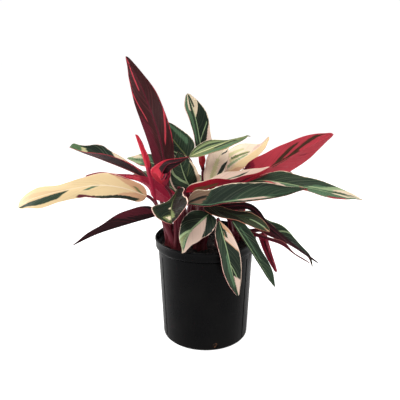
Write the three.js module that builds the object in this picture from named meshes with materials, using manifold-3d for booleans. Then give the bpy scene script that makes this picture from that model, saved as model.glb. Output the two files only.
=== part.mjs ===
// Potted stromanthe: a nursery pot, its potting mix, leafy shoots and leaf blades.
// Millimetres, +Z up, origin at the centre of the pot's underside.
import * as THREE from 'three';
import { mergeVertices } from 'three/addons/utils/BufferGeometryUtils.js';
import Module from 'manifold-3d';

const wasm = await Module();
wasm.setup();

// ---- driving dimensions -------------------------------------------------------------
const POT_HEIGHT = 244;
const POT_RIM_RADIUS = 117.5;
const POT_BAND_HEIGHT = 21.7;
const POT_BAND_FOOT_RADIUS = 116.2;
const POT_NECK_RADIUS = 110.2;
const POT_BASE_RADIUS = 100.6;
const POT_CORNER = 7;
const POT_WALL = 2;
const POT_FLOOR = 3;
const POT_STEP = 1;
const POT_LIP = 3;
const POT_CORNER_STEPS = 4;
const POT_FACETS = 60;
const GROOVE_ANGLES = [56, -64, 176];
const GROOVE_WIDTH = 3;
const GROOVE_DEPTH = 0.9;
const GROOVE_MARGIN = 10;
const HOLE_ANGLES = [12, 102, 192, 282];
const HOLE_RADIUS = 6.5;
const HOLE_HEIGHT = 13;
const HOLE_LENGTH = 16;
const HOLE_SIDES = 16;
const CLEARANCE = 0.3;
const SOIL_TOP = 219;
const SOIL_CROWN = 4;
const SOIL_CORNER = 1;
const SOIL_SHOULDER = 0.7;
const SOIL_LEVEL = 0.3;
const CANE_FOOT = 186;
const CANE_TOP = 244;
const CANE_RADIUS = 11;
const CANE_TAPER = 2;
const CANE_SIDES = 12;
const STALK_START = 228;
const STALK_SPREAD = 6;
const STALK_ROOT_RADIUS = 9;
const STALK_NECK_RADIUS = 2.8;
const STALK_GAP = 0.4;
const STALK_RISE = 0.16;
const STALK_APPROACH = 0.25;
const STALK_NARROWING = 1.1;
const STALK_FAN = 0.15;
const STALK_RINGS = 9;
const STALK_SIDES = 6;
const BLADE_THICKNESS = 0.8;
const BLADE_END_HALF_WIDTH = 1.5;
const BLADE_STATIONS = 14;
const BASE_ROUNDING = 0.08;
const TIP_ROUNDING = 0.04;
const SPINE_SAMPLES = 240;
const WELD_DISTANCE = 1e-4;

// ---- colours and surfaces -----------------------------------------------------------
const GREEN = 0x3c5a40;
const CREAM = 0xe2cc9c;
const PINK = 0xc24a58;
const MAROON = 0x4a1c24;
const CRIMSON = 0xa82040;
const BURGUNDY = 0x6a2a36;
const POT_BLACK = 0x17171a;
const SOIL_BROWN = 0x2c211a;
const PLASTIC_ROUGHNESS = 0.6;
const SOIL_ROUGHNESS = 1;
const STALK_ROUGHNESS = 0.6;
const BLADE_ROUGHNESS = 0.5;

// ---- shoots: where each cane stands on the potting mix ------------------------------
const SHOOTS = {
  front_left: [-62, -54],
  left: [-77, -20],
  middle: [-12, -44],
  front_right: [30, -26],
  right: [64, 4],
  back: [-8, 34],
  back_right: [80, 42],
};

// ---- leaf blades --------------------------------------------------------------------
// spine: points of the midrib, base to tip.
// wide: half widths of the left and the right half at even steps from base to tip.
// face: the way the top side looks, at the base and at the tip.
// fold: how far each half is raised from flat, base and tip, in degrees.
// curl: further turn of each half from midrib to margin.
const BROAD = [10, 27, 34, 33, 28, 18, 2];
const MEDIUM = [8, 23, 30, 29, 24, 15, 2];
const LEAVES = [
  {
    name: 'leaf_tall', shoot: 'left', colour: MAROON,
    wide: [[20, 26, 29, 28, 25, 14, 4], [22, 26, 29, 30, 28, 18, 2]],
    spine: [[-87, -35, 402], [-99, -45, 480], [-124, -52, 562], [-146, -55, 614],
      [-162, -58, 645]],
    face: [[-0.15, 1, 0.2]], fold: [[20, 20], [20, 20]],
  },
  {
    name: 'leaf_hooked', shoot: 'front_left', colour: CRIMSON, across: 3,
    wide: [[16, 32, 36, 22, 10, 6, 2], [24, 38, 40, 30, 24, 13, 2]],
    spine: [[-87, -72, 380], [-106, -80, 397], [-114, -86, 414], [-106, -90, 426],
      [-85, -94, 439], [-62, -96, 443], [-37, -98, 447]],
    face: [[0, -1, 0], [0, -1, -0.3]], fold: [[150, 150], [8, 8]],
  },
  {
    name: 'leaf_rolled', shoot: 'front_left', colour: CRIMSON, across: 5,
    wide: [[5, 8, 11, 13, 14, 12, 6], [5, 8, 11, 13, 14, 12, 6]],
    spine: [[-110, -66, 348], [-120, -69, 393], [-130, -71, 436], [-146, -75, 490]],
    face: [[1, 0, 0.3]], curl: [165, 165],
  },
  {
    name: 'leaf_left_folded', shoot: 'left', colour: GREEN,
    wide: [[6, 18, 30, 31, 31, 18, 9], [24, 24, 26, 29, 34, 17, 12]],
    spine: [[-131, 0, 376], [-171, 4, 397], [-239, 10, 423], [-280, 14, 437], [-308, 18, 448]],
    face: [[0, -0.1, 1], [0, -0.2, 1]], fold: [[75, 25], [0, 60]],
  },
  {
    name: 'leaf_left_small', shoot: 'back', colour: GREEN,
    wide: [[20, 24, 26, 24, 20, 11, 2], [20, 24, 24, 24, 18, 11, 2]],
    spine: [[-96, 60, 391], [-127, 60, 403], [-186, 62, 414]],
    face: [[0, -0.5, 0.85]], fold: [[15, 15], [15, 15]],
  },
  {
    name: 'leaf_cream_long', shoot: 'left', colour: CREAM, across: 3,
    wide: [[22, 26, 34, 26, 28, 29, 8], [22, 25, 34, 24, 19, 30, 16]],
    spine: [[-130, -42, 350], [-182, -55, 372], [-238, -62, 379], [-312, -68, 368],
      [-372, -73, 352], [-403, -76, 334]],
    face: [[0, -0.5, 0.87]], fold: [[12, 12], [22, -5]], curl: [-65, 0],
  },
  {
    name: 'leaf_crimson', shoot: 'front_left', colour: CRIMSON,
    wide: [[22, 18, 16, 11, 5, 6, 5], [8, 34, 24, 5, 5, 5, 4]],
    spine: [[-70, -46, 335], [-101, -42, 361], [-127, -36, 378], [-172, -27, 387],
      [-223, -22, 395], [-268, -20, 387]],
    face: [[-0.2, 0.8, 0.6]], fold: [[15, 15], [15, 15]],
  },
  {
    name: 'leaf_maroon_low', shoot: 'left', colour: MAROON,
    wide: [[24, 35, 34, 26, 17, 9, 2], [16, 23, 22, 17, 12, 7, 2]],
    spine: [[-107, -13, 299], [-131, -16, 292], [-171, -20, 281], [-245, -28, 258],
      [-303, -35, 231]],
    face: [[0, 0.2, 1]], fold: [[62, 62], [30, 30]],
  },
  {
    name: 'leaf_heart', shoot: 'front_left', colour: GREEN,
    wide: [[14,32,34,38,46,46,15],[3,3,11,38,38,28,8]],
    spine: [[-60, -62, 371], [-71, -100, 351], [-71, -140, 339], [-69, -170, 328]],
    face: [[-0.35, -0.2, 0.93]], fold: [[25, 25], [22, 22]],
  },
  {
    name: 'leaf_pink_front', shoot: 'middle', colour: CREAM,
    wide: [[24, 34, 36, 31, 27, 18, 6], [12, 34, 39, 34, 25, 20, 8]],
    spine: [[7, -47, 311], [-15, -73, 299], [-34, -98, 289], [-46, -118, 275], [-51, -132, 251]],
    face: [[-0.25, -0.75, 0.6], [0.5, -0.8, 0.2]], fold: [[10, 10], [15, -120]],
  },
  {
    name: 'leaf_hanging', shoot: 'front_right', colour: GREEN,
    wide: [[4, 17, 23, 25, 22, 13, 2], [5, 17, 20, 19, 20, 15, 5]],
    spine: [[28, -68, 301], [43, -110, 254], [54, -136, 210], [68, -148, 162]],
    face: [[0.1, -0.9, 0.4]], fold: [[8, 8], [20, 20]],
  },
  {
    name: 'leaf_right_low', shoot: 'right', colour: GREEN,
    wide: [[17, 21, 22, 19, 18, 13, 2], [3, 3, 3, 3, 3, 4, 1]],
    spine: [[57, -68, 301], [88, -86, 256], [122, -98, 205], [151, -102, 160]],
    face: [[-0.2, -0.9, 0.5]], fold: [[10, 10], [30, 30]],
  },
  {
    name: 'leaf_olive_small', shoot: 'middle', colour: GREEN,
    wide: [[6,9,11,15,17,15,5],[14,22,20,16,17,15,3]],
    spine: [[-4, -42, 327], [31, -52, 320], [63, -62, 312], [95, -75, 306], [115, -88, 298],
      [135, -98, 286]],
    face: [[0, -0.45, 0.9]], fold: [[10, 10], [5, 5]],
  },
  {
    name: 'leaf_right_droop', shoot: 'right', colour: GREEN,
    wide: [[20, 30, 35, 34, 20, 8, 2], [20, 30, 36, 26, 8, 4, 2]],
    spine: [[79, -10, 298], [130, -14, 258], [162, -17, 242], [188, -20, 231], [213, -22, 216],
      [237, -25, 199], [248, -28, 175]],
    face: [[0, -0.1, 1], [0, -0.4, 0.9]], fold: [[35, 35], [78, 50]],
  },
  {
    name: 'leaf_right_arched', shoot: 'middle', colour: MAROON,
    wide: [[12,18,14,10,7,5,2],[8,8,7,6,5,4,2]],
    spine: [[-6, -34, 323], [36, -34, 324], [75, -36, 327], [98, -38, 324], [115, -41, 312],
      [135, -44, 287], [187, -48, 243], [255, -50, 194]],
    face: [[0, 0.93, 0.35], [0.1, 0.8, 0.6]], fold: [[10, 30], [10, 30]],
  },
  {
    name: 'leaf_right_thin', shoot: 'front_right', colour: CRIMSON,
    wide: [[3, 3, 3, 3, 2, 2, 1], [6, 9, 11, 10, 5, 3, 2]],
    spine: [[91, -35, 265], [118, -36, 254], [141, -38, 247], [173, -40, 235], [205, -42, 211],
      [238, -44, 191]],
    face: [[0, 0.5, 0.87]], fold: [[25, 25], [25, 25]],
  },
  {
    name: 'leaf_right_down', shoot: 'right', colour: CRIMSON,
    wide: [[17, 16, 15, 14, 12, 8, 4], [8, 8, 7, 6, 5, 4, 3]],
    spine: [[137, 20, 243], [149, 22, 205], [161, 24, 173], [174, 26, 138]],
    face: [[0, 1, 0.2]], fold: [[30, 30], [30, 30]],
  },
  {
    name: 'leaf_right_long', shoot: 'front_left', colour: GREEN,
    wide: [[36,37,40,37,32,14,2],[5,7,10,15,18,10,2]],
    spine: [[-41, -70, 341], [-17, -74, 340], [8, -77, 340], [40, -80, 348], [82, -83, 356],
      [125, -82, 361], [165, -78, 366], [191, -74, 371], [217, -70, 374]],
    face: [[0, -0.35, 0.94]], fold: [[25, 30], [12, 10]],
  },
  {
    name: 'leaf_right_longest', shoot: 'right', colour: GREEN,
    wide: [[4, 14, 35, 34, 29, 18, 2], [14, 18, 19, 19, 26, 21, 2]],
    spine: [[77, -5, 368], [126, -8, 377], [158, -10, 374], [189, -12, 369], [219, -13, 363],
      [248, -14, 357], [279, -16, 351], [308, -18, 346], [333, -19, 341], [354, -20, 334]],
    face: [[0, -0.3, 0.95]], fold: [[20, 15], [8, 4]],
  },
  {
    name: 'leaf_pink_upper', shoot: 'right', colour: PINK,
    wide: [[20,36,42,47,40,24,4],[20,33,36,34,30,19,6]],
    spine: [[88, 22, 385], [144, 27, 399], [194, 32, 424], [244, 35, 452], [292, 38, 474]],
    face: [[-0.2, 0.93, 0.3]], fold: [[12, 12], [12, 12]],
  },
  {
    name: 'leaf_cream_folded', shoot: 'middle', colour: CREAM,
    wide: [[14, 21, 22, 31, 31, 22, 4], [16, 22, 23, 18, 24, 20, 4]],
    spine: [[-44, -24, 355], [-24, -23, 357], [-2, -22, 360], [16, -21, 365], [36, -20, 370],
      [72, -18, 373], [99, -15, 379], [121, -12, 390], [143, -10, 408]],
    face: [[0, -0.05, 1]], fold: [[50, 42], [72, 40]],
  },
  {
    name: 'leaf_cream_upright', shoot: 'back', colour: CREAM,
    wide: [[18, 22, 22, 26, 24, 16, 4], [18, 24, 27, 27, 25, 18, 4]],
    spine: [[14,26,358], [20,36,390], [34,46,425], [52,52,448]],
    face: [[-0.3, -0.85, 0.3]], fold: [[12, 12], [12, 12]],
  },
  {
    name: 'leaf_cream_right', shoot: 'back_right', colour: CREAM,
    wide: [[20, 34, 38, 35, 22, 4, 2], [10, 20, 26, 25, 19, 14, 4]],
    spine: [[44, 58, 374], [61, 60, 392], [82, 62, 409], [105, 64, 424], [126, 66, 439],
      [140, 67, 454], [149, 68, 464]],
    face: [[0, -0.6, 0.8]], fold: [[15, 15], [10, 10]],
  },
  {
    name: 'leaf_striped', shoot: 'back', colour: GREEN,
    wide: [[6, 22, 29, 18, 6, 3, 1], [5, 15, 21, 22, 24, 13, 1]],
    spine: [[-38, 0, 429], [-13, -3, 440], [9, -4, 449], [31, -5, 458], [53, -6, 467],
      [71, -6, 471], [84, -6, 475], [91, -6, 478], [99, -6, 476]],
    face: [[0, -0.5, 0.87]], fold: [[12, -20], [8, 8]],
  },
  {
    name: 'leaf_upright', shoot: 'back', colour: GREEN,
    wide: [[14, 13, 12, 14, 16, 17, 6], [22, 27, 28, 29, 27, 18, 4]],
    spine: [[-8, 50, 424], [-14, 50, 459], [-22, 50, 503], [-32, 49, 537], [-41, 48, 565]],
    face: [[0.2, -0.95, 0.1]], fold: [[10, 10], [15, 15]],
  },
  {
    name: 'leaf_upright_small', shoot: 'back', colour: CRIMSON,
    wide: [[3,5,8,9,9,6,2],[3,4,7,8,8,6,2]],
    spine: [[-7,42,388], [-8,41,407], [-11,38,440]],
    face: [[0.3, -0.95, 0]], fold: [[20, 20], [20, 20]],
  },
  {
    name: 'leaf_behind_tall', shoot: 'back', colour: GREEN,
    wide: [[20, 21, 20, 20, 18, 12, 2], [22, 34, 35, 32, 26, 18, 4]],
    spine: [[-40, 26, 421], [-59, 30, 443], [-79, 32, 469], [-103, 34, 505]],
    face: [[0, -0.9, 0.3]], fold: [[10, 10], [12, 12]],
  },
  {
    name: 'leaf_centre', shoot: 'front_left', colour: GREEN,
    wide: [[30, 34, 35, 32, 22, 12, 2], [28, 32, 32, 31, 26, 18, 2]],
    spine: [[-36, 2, 359], [-46, -4, 381], [-55, -6, 409], [-62, -4, 441]],
    face: [[0, -0.9, 0.3]], fold: [[12, 12], [15, 15]],
  },
  {
    name: 'leaf_back_1', shoot: 'back', colour: GREEN,
    wide: [BROAD, BROAD],
    spine: [[-10, 60, 300], [-26, 125, 326], [-50, 205, 330], [-70, 292, 280]],
    face: [[0, 0, 1]], fold: [[18, 18], [18, 18]],
  },
  {
    name: 'leaf_back_2', shoot: 'back', colour: GREEN,
    wide: [BROAD, BROAD],
    spine: [[24, 80, 350], [44, 135, 390], [75, 205, 385], [110, 280, 340]],
    face: [[0, 0, 1]], fold: [[18, 18], [18, 18]],
  },
  {
    name: 'leaf_back_3', shoot: 'back_right', colour: GREEN,
    wide: [BROAD, BROAD],
    spine: [[64, 60, 330], [120, 105, 365], [190, 160, 360], [260, 200, 320]],
    face: [[0, 0, 1]], fold: [[18, 18], [18, 18]],
  },
  {
    name: 'leaf_back_4', shoot: 'left', colour: GREEN,
    wide: [BROAD, BROAD],
    spine: [[-58, 34, 318], [-80, 46, 346], [-140, 90, 358], [-200, 130, 345], [-265, 160, 300]],
    face: [[0, 0, 1]], fold: [[18, 18], [18, 18]],
  },
  {
    name: 'leaf_back_5', shoot: 'back', colour: GREEN,
    wide: [MEDIUM, MEDIUM],
    spine: [[2, 64, 292], [-2, 116, 296], [-8, 163, 252], [-12, 188, 176]],
    face: [[0, 0, 1], [0, 1, 0.3]], fold: [[18, 18], [18, 18]],
  },
  {
    name: 'leaf_back_6', shoot: 'back_right', colour: GREEN,
    wide: [MEDIUM, MEDIUM],
    spine: [[46, 90, 300], [62, 125, 308], [80, 160, 265], [95, 180, 185]],
    face: [[0, 0, 1], [0, 1, 0.3]], fold: [[18, 18], [18, 18]],
  },
  {
    name: 'leaf_back_7', shoot: 'back', colour: GREEN,
    wide: [BROAD, BROAD],
    spine: [[-72, 72, 380], [-94, 140, 430], [-116, 210, 430], [-140, 280, 395]],
    face: [[0, 0, 1]], fold: [[18, 18], [18, 18]],
  },
];

// ---- helpers ------------------------------------------------------------------------
const radians = THREE.MathUtils.degToRad;
const mix = THREE.MathUtils.lerp;
const vector = (point) => new THREE.Vector3(...point);

/** Triangles from a flat list of corners and an index, as a clean indexed geometry. */
function shellOf(corners, faces) {
  const geometry = new THREE.BufferGeometry();
  geometry.setAttribute('position', new THREE.Float32BufferAttribute(corners, 3));
  geometry.setIndex(faces);
  return geometry;
}

function toSolid(geometry) {
  const bare = geometry.clone();
  bare.deleteAttribute('normal');
  bare.deleteAttribute('uv');
  const welded = mergeVertices(bare, WELD_DISTANCE);
  const mesh = new wasm.Mesh({
    numProp: 3,
    vertProperties: new Float32Array(welded.attributes.position.array),
    triVerts: new Uint32Array(welded.index.array),
  });
  return new wasm.Manifold(mesh);
}

function fromSolid(solid) {
  const mesh = solid.getMesh();
  return shellOf(Array.from(mesh.vertProperties), Array.from(mesh.triVerts));
}

function named(name, geometry, colour, roughness) {
  geometry.computeVertexNormals();
  const material = new THREE.MeshStandardMaterial({ color: colour, roughness, metalness: 0 });
  const mesh = new THREE.Mesh(geometry, material);
  mesh.name = name;
  return mesh;
}

/** A closed skin around a list of rings, each ring running the same way round. */
function skinRings(rings) {
  const corners = [];
  const faces = [];
  const sides = rings[0].length;
  rings.forEach((ring) => ring.forEach((p) => corners.push(p.x, p.y, p.z)));
  for (let i = 0; i < rings.length - 1; i += 1) {
    for (let j = 0; j < sides; j += 1) {
      const a = i * sides + j;
      const b = i * sides + ((j + 1) % sides);
      faces.push(a, b, a + sides, b, b + sides, a + sides);
    }
  }
  const last = (rings.length - 1) * sides;
  for (let j = 1; j < sides - 1; j += 1) {
    faces.push(0, j + 1, j);
    faces.push(last, last + j, last + j + 1);
  }
  return shellOf(corners, faces);
}

// ---- leaf blade ---------------------------------------------------------------------
/** Evenly spaced stations on the midrib with the way it runs at each. */
function spineStations(spine, count) {
  const curve = new THREE.CatmullRomCurve3(spine.map(vector), false, 'catmullrom', 0.5);
  curve.arcLengthDivisions = SPINE_SAMPLES;
  const stations = [];
  for (let i = 0; i < count; i += 1) {
    const s = i / (count - 1);
    stations.push({ s, point: curve.getPointAt(s), along: curve.getTangentAt(s).normalize() });
  }
  return stations;
}

/** Offset of a point on one half, in the plane across the midrib: [sideways, upward]. */
function halfOffset(width, start, turn, r) {
  if (Math.abs(turn) < 1e-4) {
    return [width * r * Math.cos(start), width * r * Math.sin(start)];
  }
  const angle = start + turn * r;
  return [
    (width * (Math.sin(angle) - Math.sin(start))) / turn,
    (width * (Math.cos(start) - Math.cos(angle))) / turn,
  ];
}

/** Half width at a place on the midrib: a smooth line through the listed widths. */
function halfWidth(widths, s) {
  const last = widths.length - 1;
  const span = Math.min(Math.floor(s * last), last - 1);
  const part = s * last - span;
  const at = (i) => widths[THREE.MathUtils.clamp(i, 0, last)];
  const slope = (i) => (at(i + 1) - at(i - 1)) / 2;
  const bulge = part * (1 - part);
  const swell = bulge * ((1 - part) * (slope(span) - at(span + 1) + at(span))
    + part * (at(span + 1) - at(span) - slope(span + 1)));
  const rounding = (distance) => Math.sqrt(1 - (1 - Math.min(1, distance)) ** 2);
  const ends = rounding(s / BASE_ROUNDING) * rounding((1 - s) / TIP_ROUNDING);
  return Math.max(BLADE_END_HALF_WIDTH, ends * (mix(at(span), at(span + 1), part) + swell));
}

/** Rows of points over the blade, base to tip, each from the left margin to the right. */
function bladeRows(leaf, count, across) {
  const { curl = [0, 0], fold = [[0, 0], [0, 0]] } = leaf;
  const faceBase = vector(leaf.face[0]).normalize();
  const faceTip = vector(leaf.face[leaf.face.length - 1]).normalize();
  return spineStations(leaf.spine, count).map(({ s, point, along }) => {
    const up = faceBase.clone().lerp(faceTip, s);
    up.addScaledVector(along, -up.dot(along)).normalize();
    const left = new THREE.Vector3().crossVectors(up, along);
    const place = (half, r) => {
      const width = halfWidth(leaf.wide[half], s);
      const start = radians(mix(fold[half][0], fold[half][1], s));
      const [sideways, upward] = halfOffset(width, start, radians(curl[half]), r);
      const sign = half === 0 ? 1 : -1;
      return point.clone().addScaledVector(left, sign * sideways).addScaledVector(up, upward);
    };
    const row = [];
    for (let j = across; j > 0; j -= 1) row.push(place(0, j / across));
    row.push(point.clone());
    for (let j = 1; j <= across; j += 1) row.push(place(1, j / across));
    return row;
  });
}

/** The way the top side looks at one point of the rows. */
function rowNormal(rows, i, j) {
  const before = rows[Math.max(i - 1, 0)][j];
  const after = rows[Math.min(i + 1, rows.length - 1)][j];
  const toLeft = rows[i][Math.max(j - 1, 0)];
  const toRight = rows[i][Math.min(j + 1, rows[i].length - 1)];
  const along = after.clone().sub(before);
  const rightward = toRight.clone().sub(toLeft);
  return new THREE.Vector3().crossVectors(rightward, along).normalize();
}

/** A thin closed blade: each row becomes a ring that runs over the top and back below. */
function bladeGeometry(leaf) {
  const rows = bladeRows(leaf, BLADE_STATIONS, leaf.across ?? 2);
  const half = BLADE_THICKNESS / 2;
  const rings = rows.map((row, i) => {
    const over = row.map((p, j) => p.clone().addScaledVector(rowNormal(rows, i, j), half));
    const under = row.map((p, j) => p.clone().addScaledVector(rowNormal(rows, i, j), -half));
    return [...over, ...under.reverse()];
  });
  return skinRings(rings);
}

// ---- leaf stalks and canes ----------------------------------------------------------
/** A round stalk from the cane to just short of the blade, thick at the sheath. */
function stalkGeometry(leaf, foot, turn) {
  const [first] = spineStations(leaf.spine, 2);
  const end = first.point.clone().addScaledVector(first.along, -STALK_GAP);
  const start = new THREE.Vector3(
    foot[0] + STALK_SPREAD * Math.cos(turn),
    foot[1] + STALK_SPREAD * Math.sin(turn),
    STALK_START,
  );
  const reach = start.distanceTo(end);
  const rise = start.clone().add(new THREE.Vector3(0, 0, reach * STALK_RISE));
  const approach = end.clone().addScaledVector(first.along, -reach * STALK_APPROACH);
  const curve = new THREE.CubicBezierCurve3(start, rise, approach, end);
  let side = new THREE.Vector3(1, 0, 0);
  const rings = [];
  for (let i = 0; i < STALK_RINGS; i += 1) {
    const s = i / (STALK_RINGS - 1);
    const centre = curve.getPoint(s);
    const along = i === STALK_RINGS - 1 ? first.along : curve.getTangent(s).normalize();
    side = side.clone().addScaledVector(along, -side.dot(along)).normalize();
    const other = new THREE.Vector3().crossVectors(along, side);
    const radius = mix(STALK_ROOT_RADIUS, STALK_NECK_RADIUS, Math.min(1, s * STALK_NARROWING));
    const ring = [];
    for (let k = 0; k < STALK_SIDES; k += 1) {
      const angle = (2 * Math.PI * k) / STALK_SIDES;
      ring.push(centre.clone()
        .addScaledVector(side, radius * Math.cos(angle))
        .addScaledVector(other, radius * Math.sin(angle)));
    }
    rings.push(ring);
  }
  return skinRings(rings);
}

function uprightCylinder(foot, bottom, top, lowRadius, highRadius) {
  const height = top - bottom;
  const geometry = new THREE.CylinderGeometry(highRadius, lowRadius, height, CANE_SIDES);
  geometry.rotateX(Math.PI / 2);
  geometry.translate(foot[0], foot[1], (bottom + top) / 2);
  return geometry;
}

function shootGeometry(name) {
  const foot = SHOOTS[name];
  const leaves = LEAVES.filter((leaf) => leaf.shoot === name);
  const cane = uprightCylinder(foot, CANE_FOOT, CANE_TOP, CANE_RADIUS - CANE_TAPER, CANE_RADIUS);
  const stalks = leaves.map((leaf, i) => {
    const turn = Math.atan2(leaf.spine[0][1] - foot[1], leaf.spine[0][0] - foot[0]);
    return toSolid(stalkGeometry(leaf, foot, turn + i * STALK_FAN));
  });
  return fromSolid(wasm.Manifold.union([toSolid(cane), ...stalks]));
}

// ---- pot and potting mix ------------------------------------------------------------
function lathed(profile) {
  const points = profile.map(([x, y]) => new THREE.Vector2(x, y));
  const geometry = new THREE.LatheGeometry(points, POT_FACETS);
  geometry.rotateX(Math.PI / 2);
  return geometry;
}

/** Outer radius of the tapered body at a height. */
function bodyRadius(z) {
  return mix(POT_BASE_RADIUS, POT_NECK_RADIUS, z / (POT_HEIGHT - POT_BAND_HEIGHT));
}

function potGeometry() {
  const bandFoot = POT_HEIGHT - POT_BAND_HEIGHT;
  const corner = [];
  for (let i = 0; i <= POT_CORNER_STEPS; i += 1) {
    const a = (i / POT_CORNER_STEPS) * (Math.PI / 2);
    corner.push([
      POT_BASE_RADIUS - POT_CORNER + POT_CORNER * Math.sin(a),
      POT_CORNER - POT_CORNER * Math.cos(a),
    ]);
  }
  const outside = [
    [0, 0],
    ...corner,
    [POT_NECK_RADIUS, bandFoot - 2 * POT_STEP],
    [POT_NECK_RADIUS - POT_STEP, bandFoot - POT_STEP],
    [POT_BAND_FOOT_RADIUS - POT_STEP, bandFoot - POT_STEP],
    [POT_BAND_FOOT_RADIUS, bandFoot],
    [POT_RIM_RADIUS - POT_STEP, POT_HEIGHT - POT_LIP - POT_STEP],
    [POT_RIM_RADIUS, POT_HEIGHT - POT_LIP],
    [POT_RIM_RADIUS, POT_HEIGHT - POT_STEP],
    [POT_RIM_RADIUS - POT_STEP, POT_HEIGHT],
  ];
  const inside = [
    [POT_RIM_RADIUS - POT_STEP - POT_WALL, POT_HEIGHT],
    [POT_BAND_FOOT_RADIUS - POT_WALL, bandFoot + POT_WALL],
    [POT_NECK_RADIUS - POT_WALL, bandFoot],
    [bodyRadius(POT_CORNER) - POT_WALL, POT_CORNER],
    [POT_BASE_RADIUS - POT_CORNER, POT_FLOOR],
    [0, POT_FLOOR],
  ];
  let solid = toSolid(lathed([...outside, ...inside]));
  const turned = (geometry, degrees) => geometry.rotateZ(radians(degrees));
  GROOVE_ANGLES.forEach((angle) => {
    const height = bandFoot - GROOVE_MARGIN - POT_CORNER;
    const groove = new THREE.BoxGeometry(GROOVE_WIDTH, 2 * GROOVE_DEPTH, height);
    groove.rotateX(Math.atan2(POT_NECK_RADIUS - POT_BASE_RADIUS, bandFoot));
    const z = POT_CORNER + (GROOVE_MARGIN + height) / 2;
    groove.translate(0, -bodyRadius(z), z);
    solid = solid.subtract(toSolid(turned(groove, angle)));
  });
  HOLE_ANGLES.forEach((angle) => {
    const hole = new THREE.CylinderGeometry(HOLE_RADIUS, HOLE_RADIUS, HOLE_LENGTH, HOLE_SIDES);
    hole.translate(0, -POT_BASE_RADIUS, HOLE_HEIGHT);
    solid = solid.subtract(toSolid(turned(hole, angle)));
  });
  return fromSolid(solid);
}

function soilGeometry() {
  const topRadius = bodyRadius(SOIL_TOP) - POT_WALL - CLEARANCE;
  const profile = [
    [0, POT_FLOOR + CLEARANCE],
    [POT_BASE_RADIUS - POT_CORNER - SOIL_CORNER, POT_FLOOR + CLEARANCE],
    [bodyRadius(POT_CORNER) - POT_WALL - SOIL_CORNER, POT_CORNER + SOIL_CORNER],
    [topRadius, SOIL_TOP],
    [topRadius * SOIL_SHOULDER, SOIL_TOP + SOIL_CROWN * SOIL_SHOULDER],
    [topRadius * SOIL_LEVEL, SOIL_TOP + SOIL_CROWN],
    [0, SOIL_TOP + SOIL_CROWN],
  ];
  let solid = toSolid(lathed(profile));
  Object.values(SHOOTS).forEach((foot) => {
    const low = CANE_RADIUS - CANE_TAPER + CLEARANCE;
    const high = CANE_RADIUS + CLEARANCE;
    const socket = uprightCylinder(foot, CANE_FOOT - CLEARANCE, CANE_TOP, low, high);
    solid = solid.subtract(toSolid(socket));
  });
  return fromSolid(solid);
}

// ---- assembly -----------------------------------------------------------------------
const plant = new THREE.Group();
plant.name = 'potted_stromanthe';
plant.add(named('pot', potGeometry(), POT_BLACK, PLASTIC_ROUGHNESS));
plant.add(named('potting_mix', soilGeometry(), SOIL_BROWN, SOIL_ROUGHNESS));
Object.keys(SHOOTS).forEach((name) => {
  plant.add(named(`shoot_${name}`, shootGeometry(name), BURGUNDY, STALK_ROUGHNESS));
});
LEAVES.forEach((leaf) => {
  plant.add(named(leaf.name, bladeGeometry(leaf), leaf.colour, BLADE_ROUGHNESS));
});

export default plant;
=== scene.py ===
"""Potted stromanthe: the looks of the plant and of its nursery pot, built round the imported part.

Metres, +Z up, with the origin at the centre of the pot's underside.
"""

import logging
import math
import random
from dataclasses import dataclass
from enum import Enum
from functools import partial

import bpy
import numpy as np
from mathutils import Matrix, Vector, noise


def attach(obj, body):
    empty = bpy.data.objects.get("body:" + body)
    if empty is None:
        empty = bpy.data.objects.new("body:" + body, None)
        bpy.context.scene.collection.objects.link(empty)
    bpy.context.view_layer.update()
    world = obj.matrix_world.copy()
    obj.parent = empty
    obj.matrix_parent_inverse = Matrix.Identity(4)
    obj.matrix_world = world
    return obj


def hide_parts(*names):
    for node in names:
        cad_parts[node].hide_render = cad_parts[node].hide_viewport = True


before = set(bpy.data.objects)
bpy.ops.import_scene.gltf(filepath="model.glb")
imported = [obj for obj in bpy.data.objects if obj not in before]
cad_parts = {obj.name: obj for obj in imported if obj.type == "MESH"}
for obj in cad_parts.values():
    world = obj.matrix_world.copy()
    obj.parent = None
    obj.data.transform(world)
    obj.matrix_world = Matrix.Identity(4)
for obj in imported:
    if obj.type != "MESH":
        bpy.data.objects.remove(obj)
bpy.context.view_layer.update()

MM = 0.001
BLACK = (0.0, 0.0, 0.0, 1.0)
WHITE = (1.0, 1.0, 1.0, 1.0)
log = logging.getLogger("potted_stromanthe")

Rgb = tuple[int, int, int]
Rgba = tuple[float, float, float, float]
Pair = tuple[float, float]
Triple = tuple[float, float, float]
Piece = bpy.types.Object
Material = bpy.types.Material
Socket = bpy.types.NodeSocket


# ---- small tools ---------------------------------------------------------------------
def linear(colour: Rgb) -> Rgba:
    """Turns an 8-bit screen colour into the linear colour, with alpha, that shaders take."""
    parts = [c / 255 for c in colour]
    curved = [p / 12.92 if p <= 0.04045 else ((p + 0.055) / 1.055) ** 2.4 for p in parts]
    return (*curved, 1.0)


def twice(value: object) -> tuple:
    """Gives a value as a pair, where it was written once for both."""
    return value if isinstance(value, tuple) else (value, value)


def deselect_all() -> None:
    """Leaves edit mode and drops the whole selection, so that an operator acts on its own piece."""
    if bpy.context.object and bpy.context.object.mode != "OBJECT":
        bpy.ops.object.mode_set(mode="OBJECT")
    bpy.ops.object.select_all(action="DESELECT")


def select(*pieces: Piece) -> None:
    """Selects just these pieces and makes the first of them the active one."""
    deselect_all()
    for piece in pieces:
        piece.select_set(True)
    bpy.context.view_layer.objects.active = pieces[0]


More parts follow.
